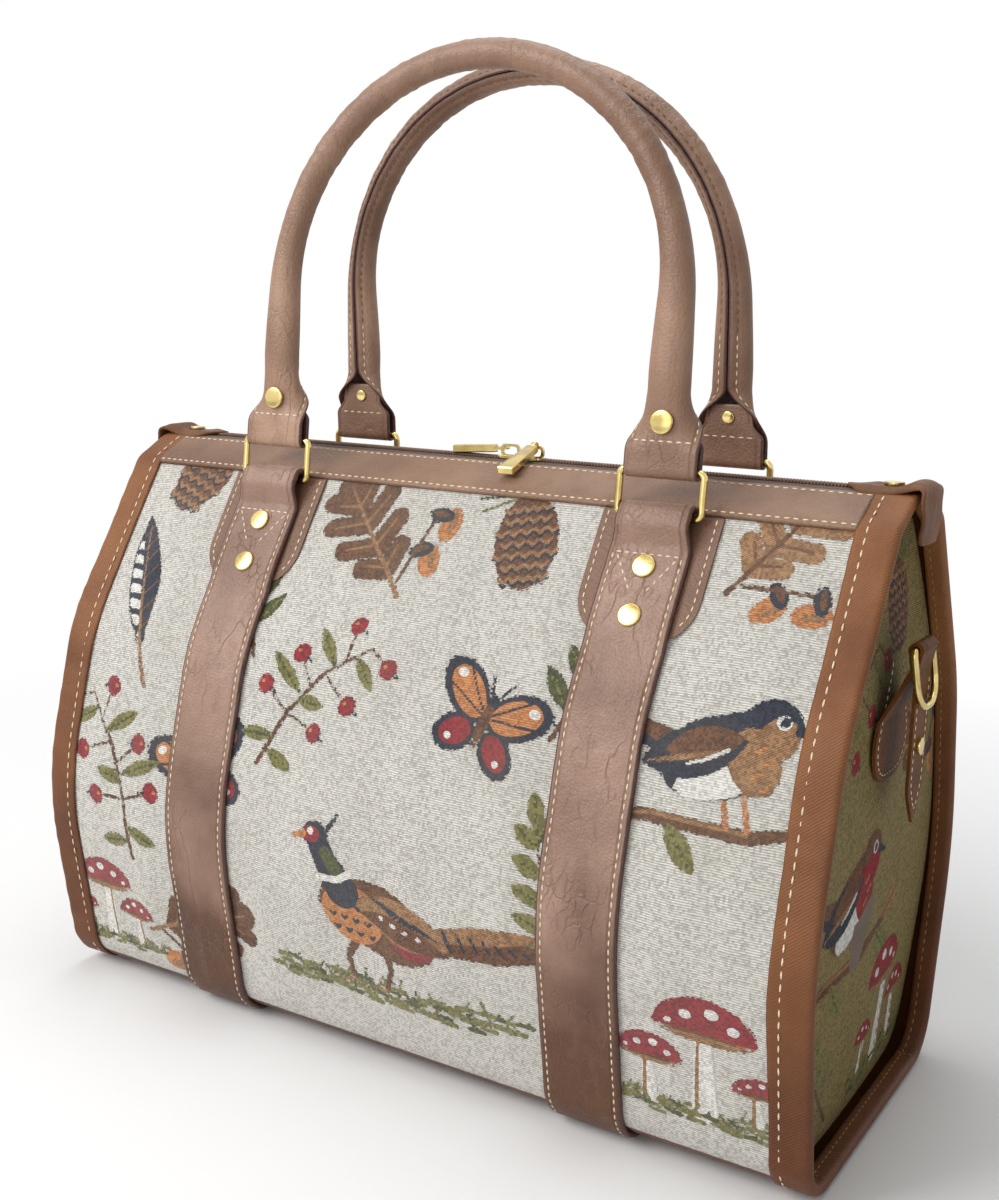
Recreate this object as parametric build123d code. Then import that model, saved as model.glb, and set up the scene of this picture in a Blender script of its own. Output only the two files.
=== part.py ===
from build123d import *
from math import asin, cos, degrees, hypot, radians, sin, sqrt
import os

# A carpet bag: a woven bag body with bound ends, two leather straps that run
# right round it, two rolled handles on rectangular rings, and a zip with two sliders.
# X runs along the bag, Y from front to back, Z up. The straps' undersides lie at Z = 0.
# All sizes are in millimetres.

# Bag body: the section across its length is a closed outline of five corners a side
bag_length = 440.0
base_half, base_corner_r = 86.0, 24.0
belly_half, belly_z, belly_r = 106.0, 112.0, 150.0
hip_half, hip_z, hip_r = 86.0, 200.0, 120.0
shoulder_half, shoulder_z, shoulder_r = 33.0, 288.0, 14.0
ridge_half, top_z, ridge_r = 11.0, 300.0, 12.0

# Layers of the body
panel_t = 1.4
lining_t = 3.0
seam_z = 12.0
board_t = 2.5
board_gap = 1.0

# Bound ends
binding_t = 1.2
binding_width = 19.0
binding_inside_width = 10.0
band_t = 1.4
end_recess = 18.0
end_dome = 9.0

# Zip
facing_t = 1.4
facing_drop = 14.5
zip_half_gap = 5.5
tape_t = 0.8
tape_width = 14.0
coil_half_gap = 0.6
coil_width, coil_height, coil_edge_r = 2.6, 2.4, 1.04
zip_end_gap = 5.0
slide_gap = 0.3

# Zip sliders and pullers
slider_length, slider_width, slider_corner_r = 12.0, 8.8, 2.4
slider_top_t, slider_bottom_t = 1.2, 1.0
slider_web_length = 5.0
sliders_meet_x = 15.5
slider_pitch = 14.0
crown_length, crown_height, crown_corner_r = 11.0, 6.0, 2.7
crown_bar, crown_t, crown_hole_r = 1.3, 1.6, 1.6
pin_r = 0.7
pin_inset = 1.6
puller_length, puller_tip_width, puller_neck_width = 30.0, 9.0, 6.0
puller_t, puller_edge = 4.0, 0.5
puller_arm_t, puller_arm_length, puller_arm_lap = 1.1, 7.0, 0.5
puller_left_droop = 4.0
eye_t, eye_width = 1.1, 2.4
puller_right_droop = 20.0

# Leather tabs over the ends of the zip
zip_tab_t = 1.8
zip_tab_width = 27.0
zip_tab_top = 33.0
zip_tab_drop = 22.0
zip_tab_bend_r, zip_tab_corner_r = 3.0, 8.0
zip_tab_rivet_inset, zip_tab_cap_r = 14.0, 4.5

# Straps, their patches and rivets
strap_spacing = 224.0
strap_width, strap_t = 40.0, 3.0
patch_width, patch_height, patch_t, patch_corner_r = 60.0, 52.5, 1.4, 18.0
strap_loop_t = 1.6
strap_loop_length = 12.0
strap_loop_width = 36.0
fold_lap = 1.0
rivet_cap_r, rivet_cap_t, rivet_shaft_r, rivet_edge_r = 5.6, 1.6, 1.8, 0.95
strap_rivet_drops = (23.7, 44.2)

# Rectangular rings
wire_r = 1.7
ring_inner_width, ring_inner_height, ring_corner_r = 38.2, 17.2, 3.0
ring_drop = 15.3
bar_gap = 0.35

# Handles
handle_r = 7.0
core_r = 4.8
handle_lean = 4.5
handle_height = 189.0
flap_loop_t = 1.8
flap_width = 36.0
flap_double = 13.0
flap_waist_width, flap_waist_t, flap_waist_at = 27.0, 7.0, 25.0
flap_end = 44.0
flap_edge_share = 0.45
sleeve_lap = 1.0
handle_rivet_at = 21.5

# Side tabs and D-rings: the heights are drops from the fold that holds the D-ring
tab_t = 1.6
tab_width = 22.0
tab_fold_drop = 67.0
tab_stand = 12.0
tab_neck_drop, tab_wide_drop, tab_patch_drop = 10.0, 41.0, 62.0
tab_patch_width, tab_patch_r = 48.0, 17.0
tab_sewn_drop = 33.0
tab_pinch_drop, tab_pinch_t, tab_pinch_lap = 9.0, 1.9, 0.8
tab_tip_drop, tab_point, tab_shoulder_r = 81.0, 16.0, 14.0
stud_drop = 45.0
stud_r, stud_cap_t = 4.0, 1.5
d_wire_r = 1.6
d_inner_width, d_inner_height, d_bow_r = 24.8, 23.0, 12.0
d_corner_r = 2.6

# Places worked out from the sizes
floor_z = strap_t
half_length = bag_length / 2
shell_end = half_length - binding_t
facing_end = half_length - binding_width
end_x = half_length - end_recess
end_crown_x = end_x + end_dome
dome_r = (base_half ** 2 + (top_z - floor_z) ** 2 / 4) / (2 * end_dome)
zip_end = facing_end - zip_end_gap
strap_x = strap_spacing / 2
facing_low_z = top_z - facing_drop
patch_low_z = facing_low_z - patch_height
ring_low_z = top_z - ring_drop
big = 2 * bag_length

slope_length = hypot(shoulder_half - hip_half, shoulder_z - hip_z)
slope_up = ((shoulder_half - hip_half) / slope_length, (shoulder_z - hip_z) / slope_length)
slope_out = (slope_up[1], -slope_up[0])

strap_bore_r = wire_r + bar_gap
strap_loop_r = strap_bore_r + strap_loop_t
flap_loop_r = strap_bore_r + flap_loop_t
ring_pitch = ring_inner_height + 2 * wire_r

bar_off = patch_t + strap_loop_r
foot_z = ring_low_z - bar_off * slope_out[1]
foot_y = shoulder_half + (shoulder_z - foot_z) * (hip_half - shoulder_half) / (shoulder_z - hip_z)
ring_low_y = foot_y + bar_off * slope_out[0]
ring_top_y = ring_low_y - ring_pitch * sin(radians(handle_lean))
ring_top_z = ring_low_z + ring_pitch * cos(radians(handle_lean))


def slope_point(along, out):
    """A point of the section's back slope: along it from the ring, and out from the cloth."""
    return (foot_y + along * slope_up[0] + out * slope_out[0], foot_z + along * slope_up[1] + out * slope_out[1])


def bag_face(grow=0.0):
    """The bag's section in Y and Z, grown outwards from the cloth's face."""
    half = [(base_half, floor_z), (belly_half, belly_z), (hip_half, hip_z),
            (shoulder_half, shoulder_z), (ridge_half, top_z)]
    radii = [base_corner_r, belly_r, hip_r, shoulder_r, ridge_r]
    corners = half + [(-y, z) for y, z in reversed(half)]
    outline = FilletPolyline(*corners, radius=radii + radii[::-1], close=True)
    face = make_face(outline)
    return offset(face, amount=grow) if grow else face


def layer(low, high):
    """The ring-shaped section of a layer between two depths from the cloth's face."""
    return bag_face(high) - bag_face(low)


def window(y_low, y_high, z_low, z_high):
    """A rectangle of the section plane."""
    return Pos((y_low + y_high) / 2, (z_low + z_high) / 2) * Rectangle(y_high - y_low, z_high - z_low)


def along_x(sketch, x_low, x_high):
    """A section drawn in Y and Z, carried along X."""
    return extrude(Plane.YZ.offset(x_low) * sketch, amount=x_high - x_low)


def box(x_low, x_high, y_low, y_high, z_low, z_high):
    """A box by its corners."""
    centre = Pos((x_low + x_high) / 2, (y_low + y_high) / 2, (z_low + z_high) / 2)
    return centre * Box(x_high - x_low, y_high - y_low, z_high - z_low)


def front_of(shape):
    """The front copy of a piece modelled at the back."""
    return mirror(shape, about=Plane.XZ)


def left_of(shape):
    """The left copy of a piece modelled at the right."""
    return mirror(shape, about=Plane.YZ)


def dome_ball(crown_x):
    """The ball whose cap, up to crown_x, is the shallow dome of the bag's right end."""
    return Pos(crown_x - dome_r, 0, (floor_z + top_z) / 2) * Sphere(dome_r)


def domed_core(depth, crown_x):
    """Everything inside the bag's section at a depth, out to the domes at both ends."""
    ball = dome_ball(crown_x)
    return along_x(bag_face(-depth), -half_length, half_length) & ball & left_of(ball)


# Woven panels, base and ends
def back_panel():
    skin = layer(-panel_t, 0) & window(zip_half_gap, big, seam_z, big)
    return along_x(skin, -shell_end, shell_end)


def base_panel():
    skin = layer(-panel_t, 0) & window(-big, big, -big, seam_z)
    return along_x(skin, -shell_end, shell_end)


def end_panel():
    depth = panel_t + band_t
    plate = domed_core(depth, end_crown_x + panel_t) - domed_core(depth, end_crown_x)
    return plate & box(0, big, -big, big, 0, big)


def end_band():
    return along_x(layer(-panel_t - band_t, -panel_t), end_x, shell_end)


def rim_binding():
    inside = panel_t + band_t
    outer = along_x(layer(0, binding_t), half_length - binding_width, half_length)
    crest = along_x(layer(-inside - binding_t, binding_t), shell_end, half_length)
    inner = along_x(layer(-inside - binding_t, -inside), half_length - binding_inside_width, half_length)
    return outer + crest + inner


def lining():
    shell = along_x(bag_face(-panel_t), -end_x, end_x) + domed_core(panel_t + band_t, end_crown_x)
    hollow = domed_core(panel_t + lining_t, end_crown_x - lining_t)
    mouth = box(-zip_end, zip_end, -tape_width - coil_half_gap, tape_width + coil_half_gap, hip_z, big)
    return shell - hollow - mouth


def base_board():
    low = floor_z + panel_t + lining_t
    half_y = base_half - base_corner_r
    half_x = end_x - lining_t - board_gap
    return box(-half_x, half_x, -half_y, half_y, low, low + board_t)


# Zip: facing, tape and coil, one set a side
def zip_facing():
    skin = layer(0, facing_t) & window(zip_half_gap, big, facing_low_z, big)
    return along_x(skin, -facing_end, facing_end)


def zip_tape():
    skin = layer(-panel_t - tape_t, -panel_t)
    skin &= window(coil_half_gap, coil_half_gap + tape_width, hip_z, big)
    return along_x(skin, -zip_end, zip_end)


coil_low = top_z - panel_t
coil_top = coil_low + coil_height


def zip_coil():
    bar = box(-zip_end, zip_end, coil_half_gap, coil_half_gap + coil_width, coil_low, coil_top)
    edges = bar.edges().filter_by(Axis.X).group_by(Axis.Z)[-1]
    return fillet(edges, coil_edge_r)


# Zip slider: a plate above the coil and one below the tapes, joined through the gap
plate_low = coil_top + slide_gap
plate_top = plate_low + slider_top_t
bottom_top = coil_low - tape_t - slide_gap
crown_top = plate_top + crown_height
crown_bar_z = crown_top - crown_bar / 2


def zip_slider(x):
    half_x, half_y = slider_length / 2, slider_width / 2
    top = box(x - half_x, x + half_x, -half_y, half_y, plate_low, plate_top)
    top = fillet(top.edges().filter_by(Axis.Z), slider_corner_r)
    low = box(x - half_x, x + half_x, -half_y, half_y, bottom_top - slider_bottom_t, bottom_top)
    low = fillet(low.edges().filter_by(Axis.Z), slider_corner_r)
    web_half_y = coil_half_gap - slide_gap
    web = box(x - slider_web_length / 2, x + slider_web_length / 2, -web_half_y, web_half_y, bottom_top, plate_low)
    return top + low + web + slider_crown(x)


def slider_crown(x):
    """The loop on top of a slider, sunk a little into its plate, with the hole for the puller."""
    sink = crown_bar / 2
    height = crown_height + sink
    hole_height = height - 2 * crown_bar
    centre_z = crown_top - height / 2
    outer = RectangleRounded(crown_length, height, crown_corner_r)
    hole = RectangleRounded(crown_length - 2 * crown_bar, hole_height, crown_hole_r)
    place = Plane((x, crown_t / 2, centre_z), x_dir=(1, 0, 0), z_dir=(0, -1, 0))
    return extrude(place * (outer - hole), amount=crown_t)


def puller_bar(start):
    """The solid metal bar of a puller, from its neck at start out along +X."""
    neck, tip = puller_neck_width / 2, puller_tip_width / 2
    outline = Polyline((start, -neck), (puller_length, -tip), (puller_length, tip), (start, neck), close=True)
    bar = extrude(make_face(outline), amount=puller_t / 2, both=True)
    return chamfer(bar.edges(), puller_edge)


def left_pin_place():
    hole_half = crown_length / 2 - crown_bar
    return (sliders_meet_x - slider_pitch / 2 - hole_half + pin_inset, crown_top - crown_bar - slide_gap - pin_r)


def zip_puller_left():
    inner_half = crown_t / 2 + 2 * slide_gap
    pin_half = inner_half + puller_arm_t
    pin = Rot(X=90) * Cylinder(pin_r, 2 * pin_half)
    arm = box(-pin_r, puller_arm_length, inner_half, inner_half + puller_arm_t, -pin_r, pin_r)
    puller = pin + arm + front_of(arm) + puller_bar(puller_arm_length - puller_arm_lap)
    pin_x, pin_z = left_pin_place()
    return Pos(pin_x, 0, pin_z) * Rot(Z=180) * Rot(Y=puller_left_droop) * puller


def zip_puller_right():
    eye_r = hypot(crown_bar, crown_t) / 2 + slide_gap
    ring = Rot(Y=90) * (Cylinder(eye_r + eye_t, eye_width) - Cylinder(eye_r, eye_width))
    hole = Rot(Y=90) * Cylinder(eye_r, big)
    bar = Rot(Z=-90) * puller_bar(eye_r + eye_t / 2) - hole
    x = sliders_meet_x + slider_pitch / 2
    return Pos(x, 0, crown_bar_z) * Rot(X=puller_right_droop) * (ring + bar)


# Leather tab folded over each end of the zip
def zip_end_tab():
    low = top_z + facing_t
    outer_x = half_length + zip_tab_t
    start = half_length - zip_tab_top
    outline = Polyline((start, low), (half_length, low), (half_length, low - zip_tab_drop),
                       (outer_x, low - zip_tab_drop), (outer_x, low + zip_tab_t), (start, low + zip_tab_t),
                       close=True)
    strip = extrude(Plane.XZ * make_face(outline), amount=zip_tab_width / 2, both=True)
    outer_edge = strip.edges().filter_by(Axis.Y).sort_by_distance((outer_x, 0, low + zip_tab_t))[0]
    strip = fillet(outer_edge, zip_tab_bend_r)
    ends = strip.edges().filter_by(Axis.Z).group_by(Axis.X)[0]
    strip = fillet(ends, zip_tab_corner_r)
    drops = strip.edges().filter_by(Axis.X).group_by(Axis.Z)[0]
    strip = fillet(drops, zip_tab_corner_r)
    return strip - zip_end_rivet()


def zip_end_rivet():
    x = half_length - zip_tab_rivet_inset
    low = top_z + facing_t
    shaft = Pos(x, 0, low + zip_tab_t / 2) * Cylinder(rivet_shaft_r, zip_tab_t)
    cap = Pos(x, 0, low + zip_tab_t + rivet_cap_t / 2) * Cylinder(zip_tab_cap_r, rivet_cap_t)
    return shaft + cap


# Straps
def teardrop():
    """The section of the strap's fold round the ring's lower bar."""
    low, high = patch_t, patch_t + strap_t
    foot = -strap_loop_length
    sides = Polyline(slope_point(0, bar_off - strap_loop_r), slope_point(foot, low), slope_point(foot, high),
                     slope_point(0, bar_off + strap_loop_r), close=True)
    roll = Pos(ring_low_y, ring_low_z) * Circle(strap_loop_r)
    bore = Pos(ring_low_y, ring_low_z) * Circle(strap_bore_r)
    return make_face(sides) + roll - bore


def strap():
    fold_low_z = slope_point(fold_lap - strap_loop_length, patch_t)[1]
    round_bag = layer(0, strap_t) & window(-big, big, -big, patch_low_z)
    over_patch = layer(patch_t, patch_t + strap_t) & window(-big, big, patch_low_z, fold_low_z)
    fold = teardrop()
    half = strap_width / 2
    body = along_x(round_bag + over_patch, strap_x - half, strap_x + half)
    fold_half = strap_loop_width / 2
    rolls = along_x(fold + mirror(fold, about=Plane.YZ), strap_x - fold_half, strap_x + fold_half)
    rivets = strap_rivets_at_back()
    return body + rolls - rivets - front_of(rivets)


def strap_patch():
    high = facing_low_z
    skin = layer(0, patch_t) & window(0, big, patch_low_z, high)
    body = along_x(skin, strap_x - patch_width / 2, strap_x + patch_width / 2)
    shape = Pos(strap_x, (patch_low_z + high) / 2) * Rectangle(patch_width, high - patch_low_z)
    shape = fillet(shape.vertices().group_by(Axis.Y)[0], patch_corner_r)
    cutter = extrude(Plane.XZ * shape, amount=-big)
    return (body & cutter) - strap_rivets_at_back()


def strap_rivets_at_back():
    """The two rivets of a strap end, square to the bag's slope."""
    rivets = []
    for drop in strap_rivet_drops:
        along = (ring_low_z - drop - foot_z) / slope_up[1]
        seat = slope_point(along, patch_t + strap_t)
        place = Plane((strap_x, *seat), x_dir=(1, 0, 0), z_dir=(0, *slope_out))
        cap = extrude(place * Circle(rivet_cap_r), amount=rivet_cap_t)
        rims = cap.edges().filter_by(GeomType.CIRCLE).sort_by_distance(place.origin + place.z_dir * big)
        cap = fillet(rims[0], rivet_edge_r)
        shaft = extrude(place * Circle(rivet_shaft_r), amount=-(patch_t + strap_t + panel_t))
        rivets.append(cap + shaft)
    return Part() + rivets


# Rectangular ring: its lower bar lies in the strap's fold, its upper bar in the handle's
def ring():
    width, height = ring_inner_width + 2 * wire_r, ring_pitch
    outline = RectangleRounded(width, height, ring_corner_r).wire()
    place = Plane((strap_x, ring_low_y, ring_low_z), x_dir=(1, 0, 0), z_dir=(0, 1, 0))
    lean = Pos(0, ring_low_y, ring_low_z) * Rot(X=handle_lean) * Pos(0, -ring_low_y, -ring_low_z)
    path = place * Pos(0, -height / 2) * outline
    start = Plane(path @ 0, z_dir=path % 0)
    return lean * sweep(start * Circle(wire_r), path=path)


def at_handle(shape):
    """Puts a piece drawn upright round the ring's upper bar onto the back handle's place."""
    return Pos(0, ring_top_y, ring_top_z) * Rot(X=handle_lean) * shape


def handle_path(low):
    leg_top = handle_height - strap_x
    right = Line((strap_x, 0, low), (strap_x, 0, leg_top))
    over = ThreePointArc((strap_x, 0, leg_top), (0, 0, handle_height), (-strap_x, 0, leg_top))
    left = Line((-strap_x, 0, leg_top), (-strap_x, 0, low))
    return Wire([right, over, left])


def handle_tube(radius, low):
    path = handle_path(low)
    start = Plane((strap_x, 0, low), z_dir=(0, 0, 1))
    return sweep(start * Circle(radius), path=path)


def handle_flap():
    """One flat end of a handle, from the fold round the ring's bar up to the rolled part."""
    fold_t = 2 * flap_loop_t
    roll = Circle(flap_loop_r)
    plate = Pos(0, flap_double / 2) * Rectangle(fold_t, flap_double)
    wedge = make_face(Polyline((-flap_loop_r, 0), (flap_loop_r, 0), (flap_loop_t, flap_double),
                               (-flap_loop_t, flap_double), close=True))
    fold = along_x(roll + plate + wedge - Circle(strap_bore_r), strap_x - flap_width / 2, strap_x + flap_width / 2)
    low = Plane((strap_x, 0, flap_double - sleeve_lap))
    waist = Plane((strap_x, 0, flap_waist_at))
    top = Plane((strap_x, 0, flap_end))
    round_edge_r = 2 * handle_r * flap_edge_share
    neck = loft([low * RectangleRounded(flap_width, fold_t, fold_t * flap_edge_share),
                 waist * RectangleRounded(flap_waist_width, flap_waist_t, flap_waist_t * flap_edge_share),
                 top * RectangleRounded(2 * handle_r, 2 * handle_r, round_edge_r)])
    return fold + neck


def handle():
    sleeve = handle_tube(handle_r, flap_end - sleeve_lap) + handle_flap() + left_of(handle_flap())
    sleeve -= handle_tube(core_r, flap_end - sleeve_lap)
    return at_handle(sleeve) - handle_rivets()


def handle_core():
    return at_handle(handle_tube(core_r, flap_end - sleeve_lap))


def handle_rivets():
    """One rivet in each flat end, with a cap on both faces."""
    span = flap_waist_t
    shaft = Rot(X=90) * Cylinder(rivet_shaft_r, span)
    cap = Rot(X=90) * Cylinder(rivet_cap_r, rivet_cap_t)
    cap_off = (span + rivet_cap_t) / 2
    rivet = shaft + Pos(0, cap_off, 0) * cap + Pos(0, -cap_off, 0) * cap
    pair = [Pos(side * strap_x, 0, handle_rivet_at) * rivet for side in (-1, 1)]
    return at_handle(Part() + pair)


# Side tab: a sewn patch whose neck stands off the bag, folds over the D-ring and hangs as a flap
tab_face_x = end_crown_x + panel_t
tab_fold_z = top_z - tab_fold_drop
tab_patch_low_z = tab_fold_z - tab_patch_drop
d_bore_r = d_wire_r + slide_gap
tab_fold_r = d_bore_r + tab_t
d_bar_x = tab_face_x + tab_stand

# The D-ring rests against the flap where the ring's bow crosses the flap's sides
d_half_width = d_inner_width / 2 + d_wire_r
d_drop = d_inner_height + 2 * d_wire_r
d_bow_side = tab_width / 2 - (d_half_width - d_bow_r)
d_rest_drop = d_drop - d_bow_r + sqrt(d_bow_r ** 2 - d_bow_side ** 2)
d_ring_tilt = degrees(asin((tab_t + d_wire_r + slide_gap) / d_rest_drop))


def side_tab():
    inner_x = d_bar_x - tab_fold_r
    outer_x = d_bar_x + tab_fold_r
    sewn_z = tab_fold_z - tab_sewn_drop
    pinch_z = tab_fold_z - tab_pinch_drop
    tip_z = tab_fold_z - tab_tip_drop
    neck = make_face(Polyline((tab_face_x, tab_patch_low_z), (tab_face_x + tab_t, tab_patch_low_z),
                              (tab_face_x + tab_t, sewn_z), (d_bar_x + tab_pinch_lap, pinch_z),
                              (inner_x + tab_t, tab_fold_z), (inner_x, tab_fold_z),
                              (d_bar_x - tab_pinch_t, pinch_z), (tab_face_x, sewn_z), close=True))
    flap = make_face(Polyline((outer_x, tab_fold_z), (outer_x - tab_t, tab_fold_z), (d_bar_x, pinch_z),
                              (d_bar_x, tip_z), (d_bar_x + tab_t, tip_z), (d_bar_x + tab_t, pinch_z),
                              close=True))
    turn = Pos(d_bar_x, tab_fold_z) * Circle(tab_fold_r)
    bore = Pos(d_bar_x, tab_fold_z) * Circle(d_bore_r)
    solid = extrude(Plane.XZ * (neck + flap + turn - bore), amount=tab_patch_width, both=True)
    behind = box(0, d_bar_x, -big, big, 0, pinch_z)
    back = solid & behind & extrude(Plane.YZ * tab_patch_outline(), amount=big)
    front = (solid - behind) & extrude(Plane.YZ * tab_flap_outline(), amount=big)
    return back + front - tab_stud()


def tab_patch_outline():
    half, neck = tab_patch_width / 2, tab_width / 2
    top = tab_fold_z + tab_fold_r
    neck_z, wide_z = tab_fold_z - tab_neck_drop, tab_fold_z - tab_wide_drop
    face = make_face(Polyline((-neck, top), (-neck, neck_z), (-half, wide_z), (-half, tab_patch_low_z),
                              (half, tab_patch_low_z), (half, wide_z), (neck, neck_z), (neck, top),
                              close=True))
    rows = face.vertices().group_by(Axis.Y)
    return fillet(rows[0] + rows[1] + rows[2], tab_patch_r)


def tab_flap_outline():
    half = tab_width / 2
    top = tab_fold_z + 2 * tab_fold_r
    tip_z = tab_fold_z - tab_tip_drop
    shoulder = tip_z + tab_point
    face = make_face(Polyline((-half, top), (-half, shoulder), (0, tip_z), (half, shoulder), (half, top),
                              close=True))
    return fillet(face.vertices().group_by(Axis.Y)[1], tab_shoulder_r)


def tab_stud():
    height = tab_fold_z - stud_drop
    shaft = Pos(d_bar_x + tab_t / 2, 0, height) * Rot(Y=90) * Cylinder(rivet_shaft_r, tab_t)
    cap = Pos(d_bar_x + tab_t + stud_cap_t / 2, 0, height) * Rot(Y=90) * Cylinder(stud_r, stud_cap_t)
    back = Pos(d_bar_x - stud_cap_t / 2, 0, height) * Rot(Y=90) * Cylinder(stud_r, stud_cap_t)
    return shaft + cap + back


def d_ring():
    half_y = d_half_width
    path = FilletPolyline((-half_y, 0), (half_y, 0), (half_y, -d_drop), (-half_y, -d_drop),
                          radius=[d_corner_r, d_corner_r, d_bow_r, d_bow_r], close=True)
    placed = Plane((0, 0, 0), x_dir=(0, 1, 0), z_dir=(1, 0, 0)) * path
    start = Plane(placed @ 0, z_dir=placed % 0)
    wire = sweep(start * Circle(d_wire_r), path=placed)
    return Pos(d_bar_x, 0, tab_fold_z) * Rot(Y=-d_ring_tilt) * wire


def save(node, shape):
    export_step(shape, "parts/" + node + ".step")


os.makedirs("parts", exist_ok=True)

save("back_panel", back_panel() - strap_rivets_at_back() - left_of(strap_rivets_at_back()))
save("front_panel", front_of(back_panel() - strap_rivets_at_back() - left_of(strap_rivets_at_back())))
save("base_panel", base_panel())
save("lining", lining())
save("base_board", base_board())

for side, place in (("right", lambda shape: shape), ("left", left_of)):
    save("end_panel_" + side, place(end_panel()))
    save("end_band_" + side, place(end_band()))
    save("rim_binding_" + side, place(rim_binding()))
    save("zip_end_tab_" + side, place(zip_end_tab()))
    save("strap_" + side, place(strap()))
    save("side_tab_" + side, place(side_tab()))
    save("d_ring_" + side, place(d_ring()))
    for face, turn in (("back", lambda shape: shape), ("front", front_of)):
        save("strap_patch_" + face + "_" + side, place(turn(strap_patch())))
        save("ring_" + face + "_" + side, place(turn(ring())))

for face, turn in (("back", lambda shape: shape), ("front", front_of)):
    save("zip_facing_" + face, turn(zip_facing()))
    save("zip_tape_" + face, turn(zip_tape()))
    save("zip_coil_" + face, turn(zip_coil()))
    save("handle_" + face, turn(handle()))
    save("handle_core_" + face, turn(handle_core()))
    save("handle_rivets_" + face, turn(handle_rivets()))

save("zip_slider_left", zip_slider(sliders_meet_x - slider_pitch / 2))
save("zip_slider_right", zip_slider(sliders_meet_x + slider_pitch / 2))
save("zip_puller_left", zip_puller_left())
save("zip_puller_right", zip_puller_right())

back_rivets = strap_rivets_at_back() + left_of(strap_rivets_at_back())
save("strap_rivets", back_rivets + front_of(back_rivets))
save("zip_end_rivets", zip_end_rivet() + left_of(zip_end_rivet()))
save("side_tab_studs", tab_stud() + left_of(tab_stud()))
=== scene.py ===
import math

import bmesh
import bpy
import numpy as np
from mathutils import Matrix, Vector


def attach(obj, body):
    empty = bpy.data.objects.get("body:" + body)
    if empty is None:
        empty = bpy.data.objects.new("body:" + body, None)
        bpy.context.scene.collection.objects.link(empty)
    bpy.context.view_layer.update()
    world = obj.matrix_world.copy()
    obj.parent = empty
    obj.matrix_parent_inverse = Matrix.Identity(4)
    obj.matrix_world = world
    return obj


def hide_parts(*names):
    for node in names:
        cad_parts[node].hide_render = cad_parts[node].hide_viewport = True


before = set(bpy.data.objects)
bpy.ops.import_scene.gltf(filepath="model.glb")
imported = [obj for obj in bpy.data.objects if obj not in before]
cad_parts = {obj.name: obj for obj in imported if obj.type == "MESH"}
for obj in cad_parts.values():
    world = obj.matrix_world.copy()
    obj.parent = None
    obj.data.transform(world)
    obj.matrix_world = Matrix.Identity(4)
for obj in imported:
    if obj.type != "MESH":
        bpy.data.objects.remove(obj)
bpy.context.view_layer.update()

# Sizes are in millimetres until a mesh is written, and then in metres
MM = 0.001
BAG_HALF = 220.0
SEAM_Z = 12.0
PANEL_HALF = 218.8
STRAP_X = 112.0
STRAP_WIDTH = 40.0
STRAP_T = 3.0
PATCH_T = 1.4
PATCH_HALF = 30.0
PATCH_LOW_Z = 233.0
PATCH_CORNER = 18.0
FACING_LOW_Z = 285.5
FACING_HALF = 202.0
FACING_T = 1.5
ZIP_HALF = 195.5
ZIP_HALF_GAP = 10.0
STRIP_EDGE = 0.8
BINDING_INNER_X = 201.0
RING_TOP = np.array((39.266, 305.236))
HANDLE_LEAN = math.radians(4.5)
HANDLE_HEIGHT = 189.0
SLOPE_FOOT = np.array((36.557, 282.095))
SLOPE_UP = np.array((-0.51592, 0.85663))
SLOPE_OUT = np.array((0.85663, 0.51592))
SIDES = {"left": -1, "right": 1}
FACES = {"front": -1, "back": 1}

# Half of the section across the bag: half depth, height and corner radius
SECTION = [(0, 3, 0), (86, 3, 24), (106, 112, 150), (86, 200, 120), (33, 288, 14), (11, 300, 12),
           (0, 300, 0)]


def rounded(corners, closed=False, fineness=9):
    """Points along a line of corners, each given as x, y and its radius."""
    points = []
    count = len(corners)
    for index, (x, y, radius) in enumerate(corners):
        here = np.array((x, y), float)
        if not radius or (not closed and index in (0, count - 1)):
            points.append(here)
            continue
        back = np.array(corners[index - 1][:2], float) - here
        ahead = np.array(corners[(index + 1) % count][:2], float) - here
        back /= np.linalg.norm(back)
        ahead /= np.linalg.norm(ahead)
        inwards, onwards = back + ahead, ahead - back
        inwards /= np.linalg.norm(inwards)
        onwards /= np.linalg.norm(onwards)
        half_turn = math.pi / 2 - math.acos(np.clip(back @ ahead, -1, 1)) / 2
        middle = here + inwards * radius / math.cos(half_turn)
        for angle in np.linspace(-half_turn, half_turn, fineness):
            points.append(middle + radius * (onwards * math.sin(angle) - inwards * math.cos(angle)))
    if closed:
        points.append(points[0])
    return np.array(points)


class Line:
    """A line in a plane, with its point and its right-hand side at any distance along it."""

    def __init__(self, points):
        steps = np.linalg.norm(np.diff(points, axis=0), axis=1)
        kept = np.append(True, steps > 1e-6)
        self.points = points[kept]
        self.distances = np.append(0, np.cumsum(steps[steps > 1e-6]))
        self.length = self.distances[-1]
        runs = np.diff(self.points, axis=0)
        self.sides = np.stack([runs[:, 1], -runs[:, 0]], axis=1)
        self.sides /= np.linalg.norm(self.sides, axis=1)[:, None]
        self.side_places = (self.distances[1:] + self.distances[:-1]) / 2

    def at(self, distance):
        return [np.interp(distance, self.distances, self.points[:, i]) for i in (0, 1)]

    def out(self, distance):
        side = [np.interp(distance, self.side_places, self.sides[:, i]) for i in (0, 1)]
        size = np.hypot(*side)
        return side[0] / size, side[1] / size

    def beside(self, distance, out):
        """Points at a distance along the line, and a height off its right-hand side."""
        y, z = self.at(distance)
        out_y, out_z = self.out(distance)
        return y + out * out_y, z + out * out_z


section = Line(rounded(SECTION, fineness=25))


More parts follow.
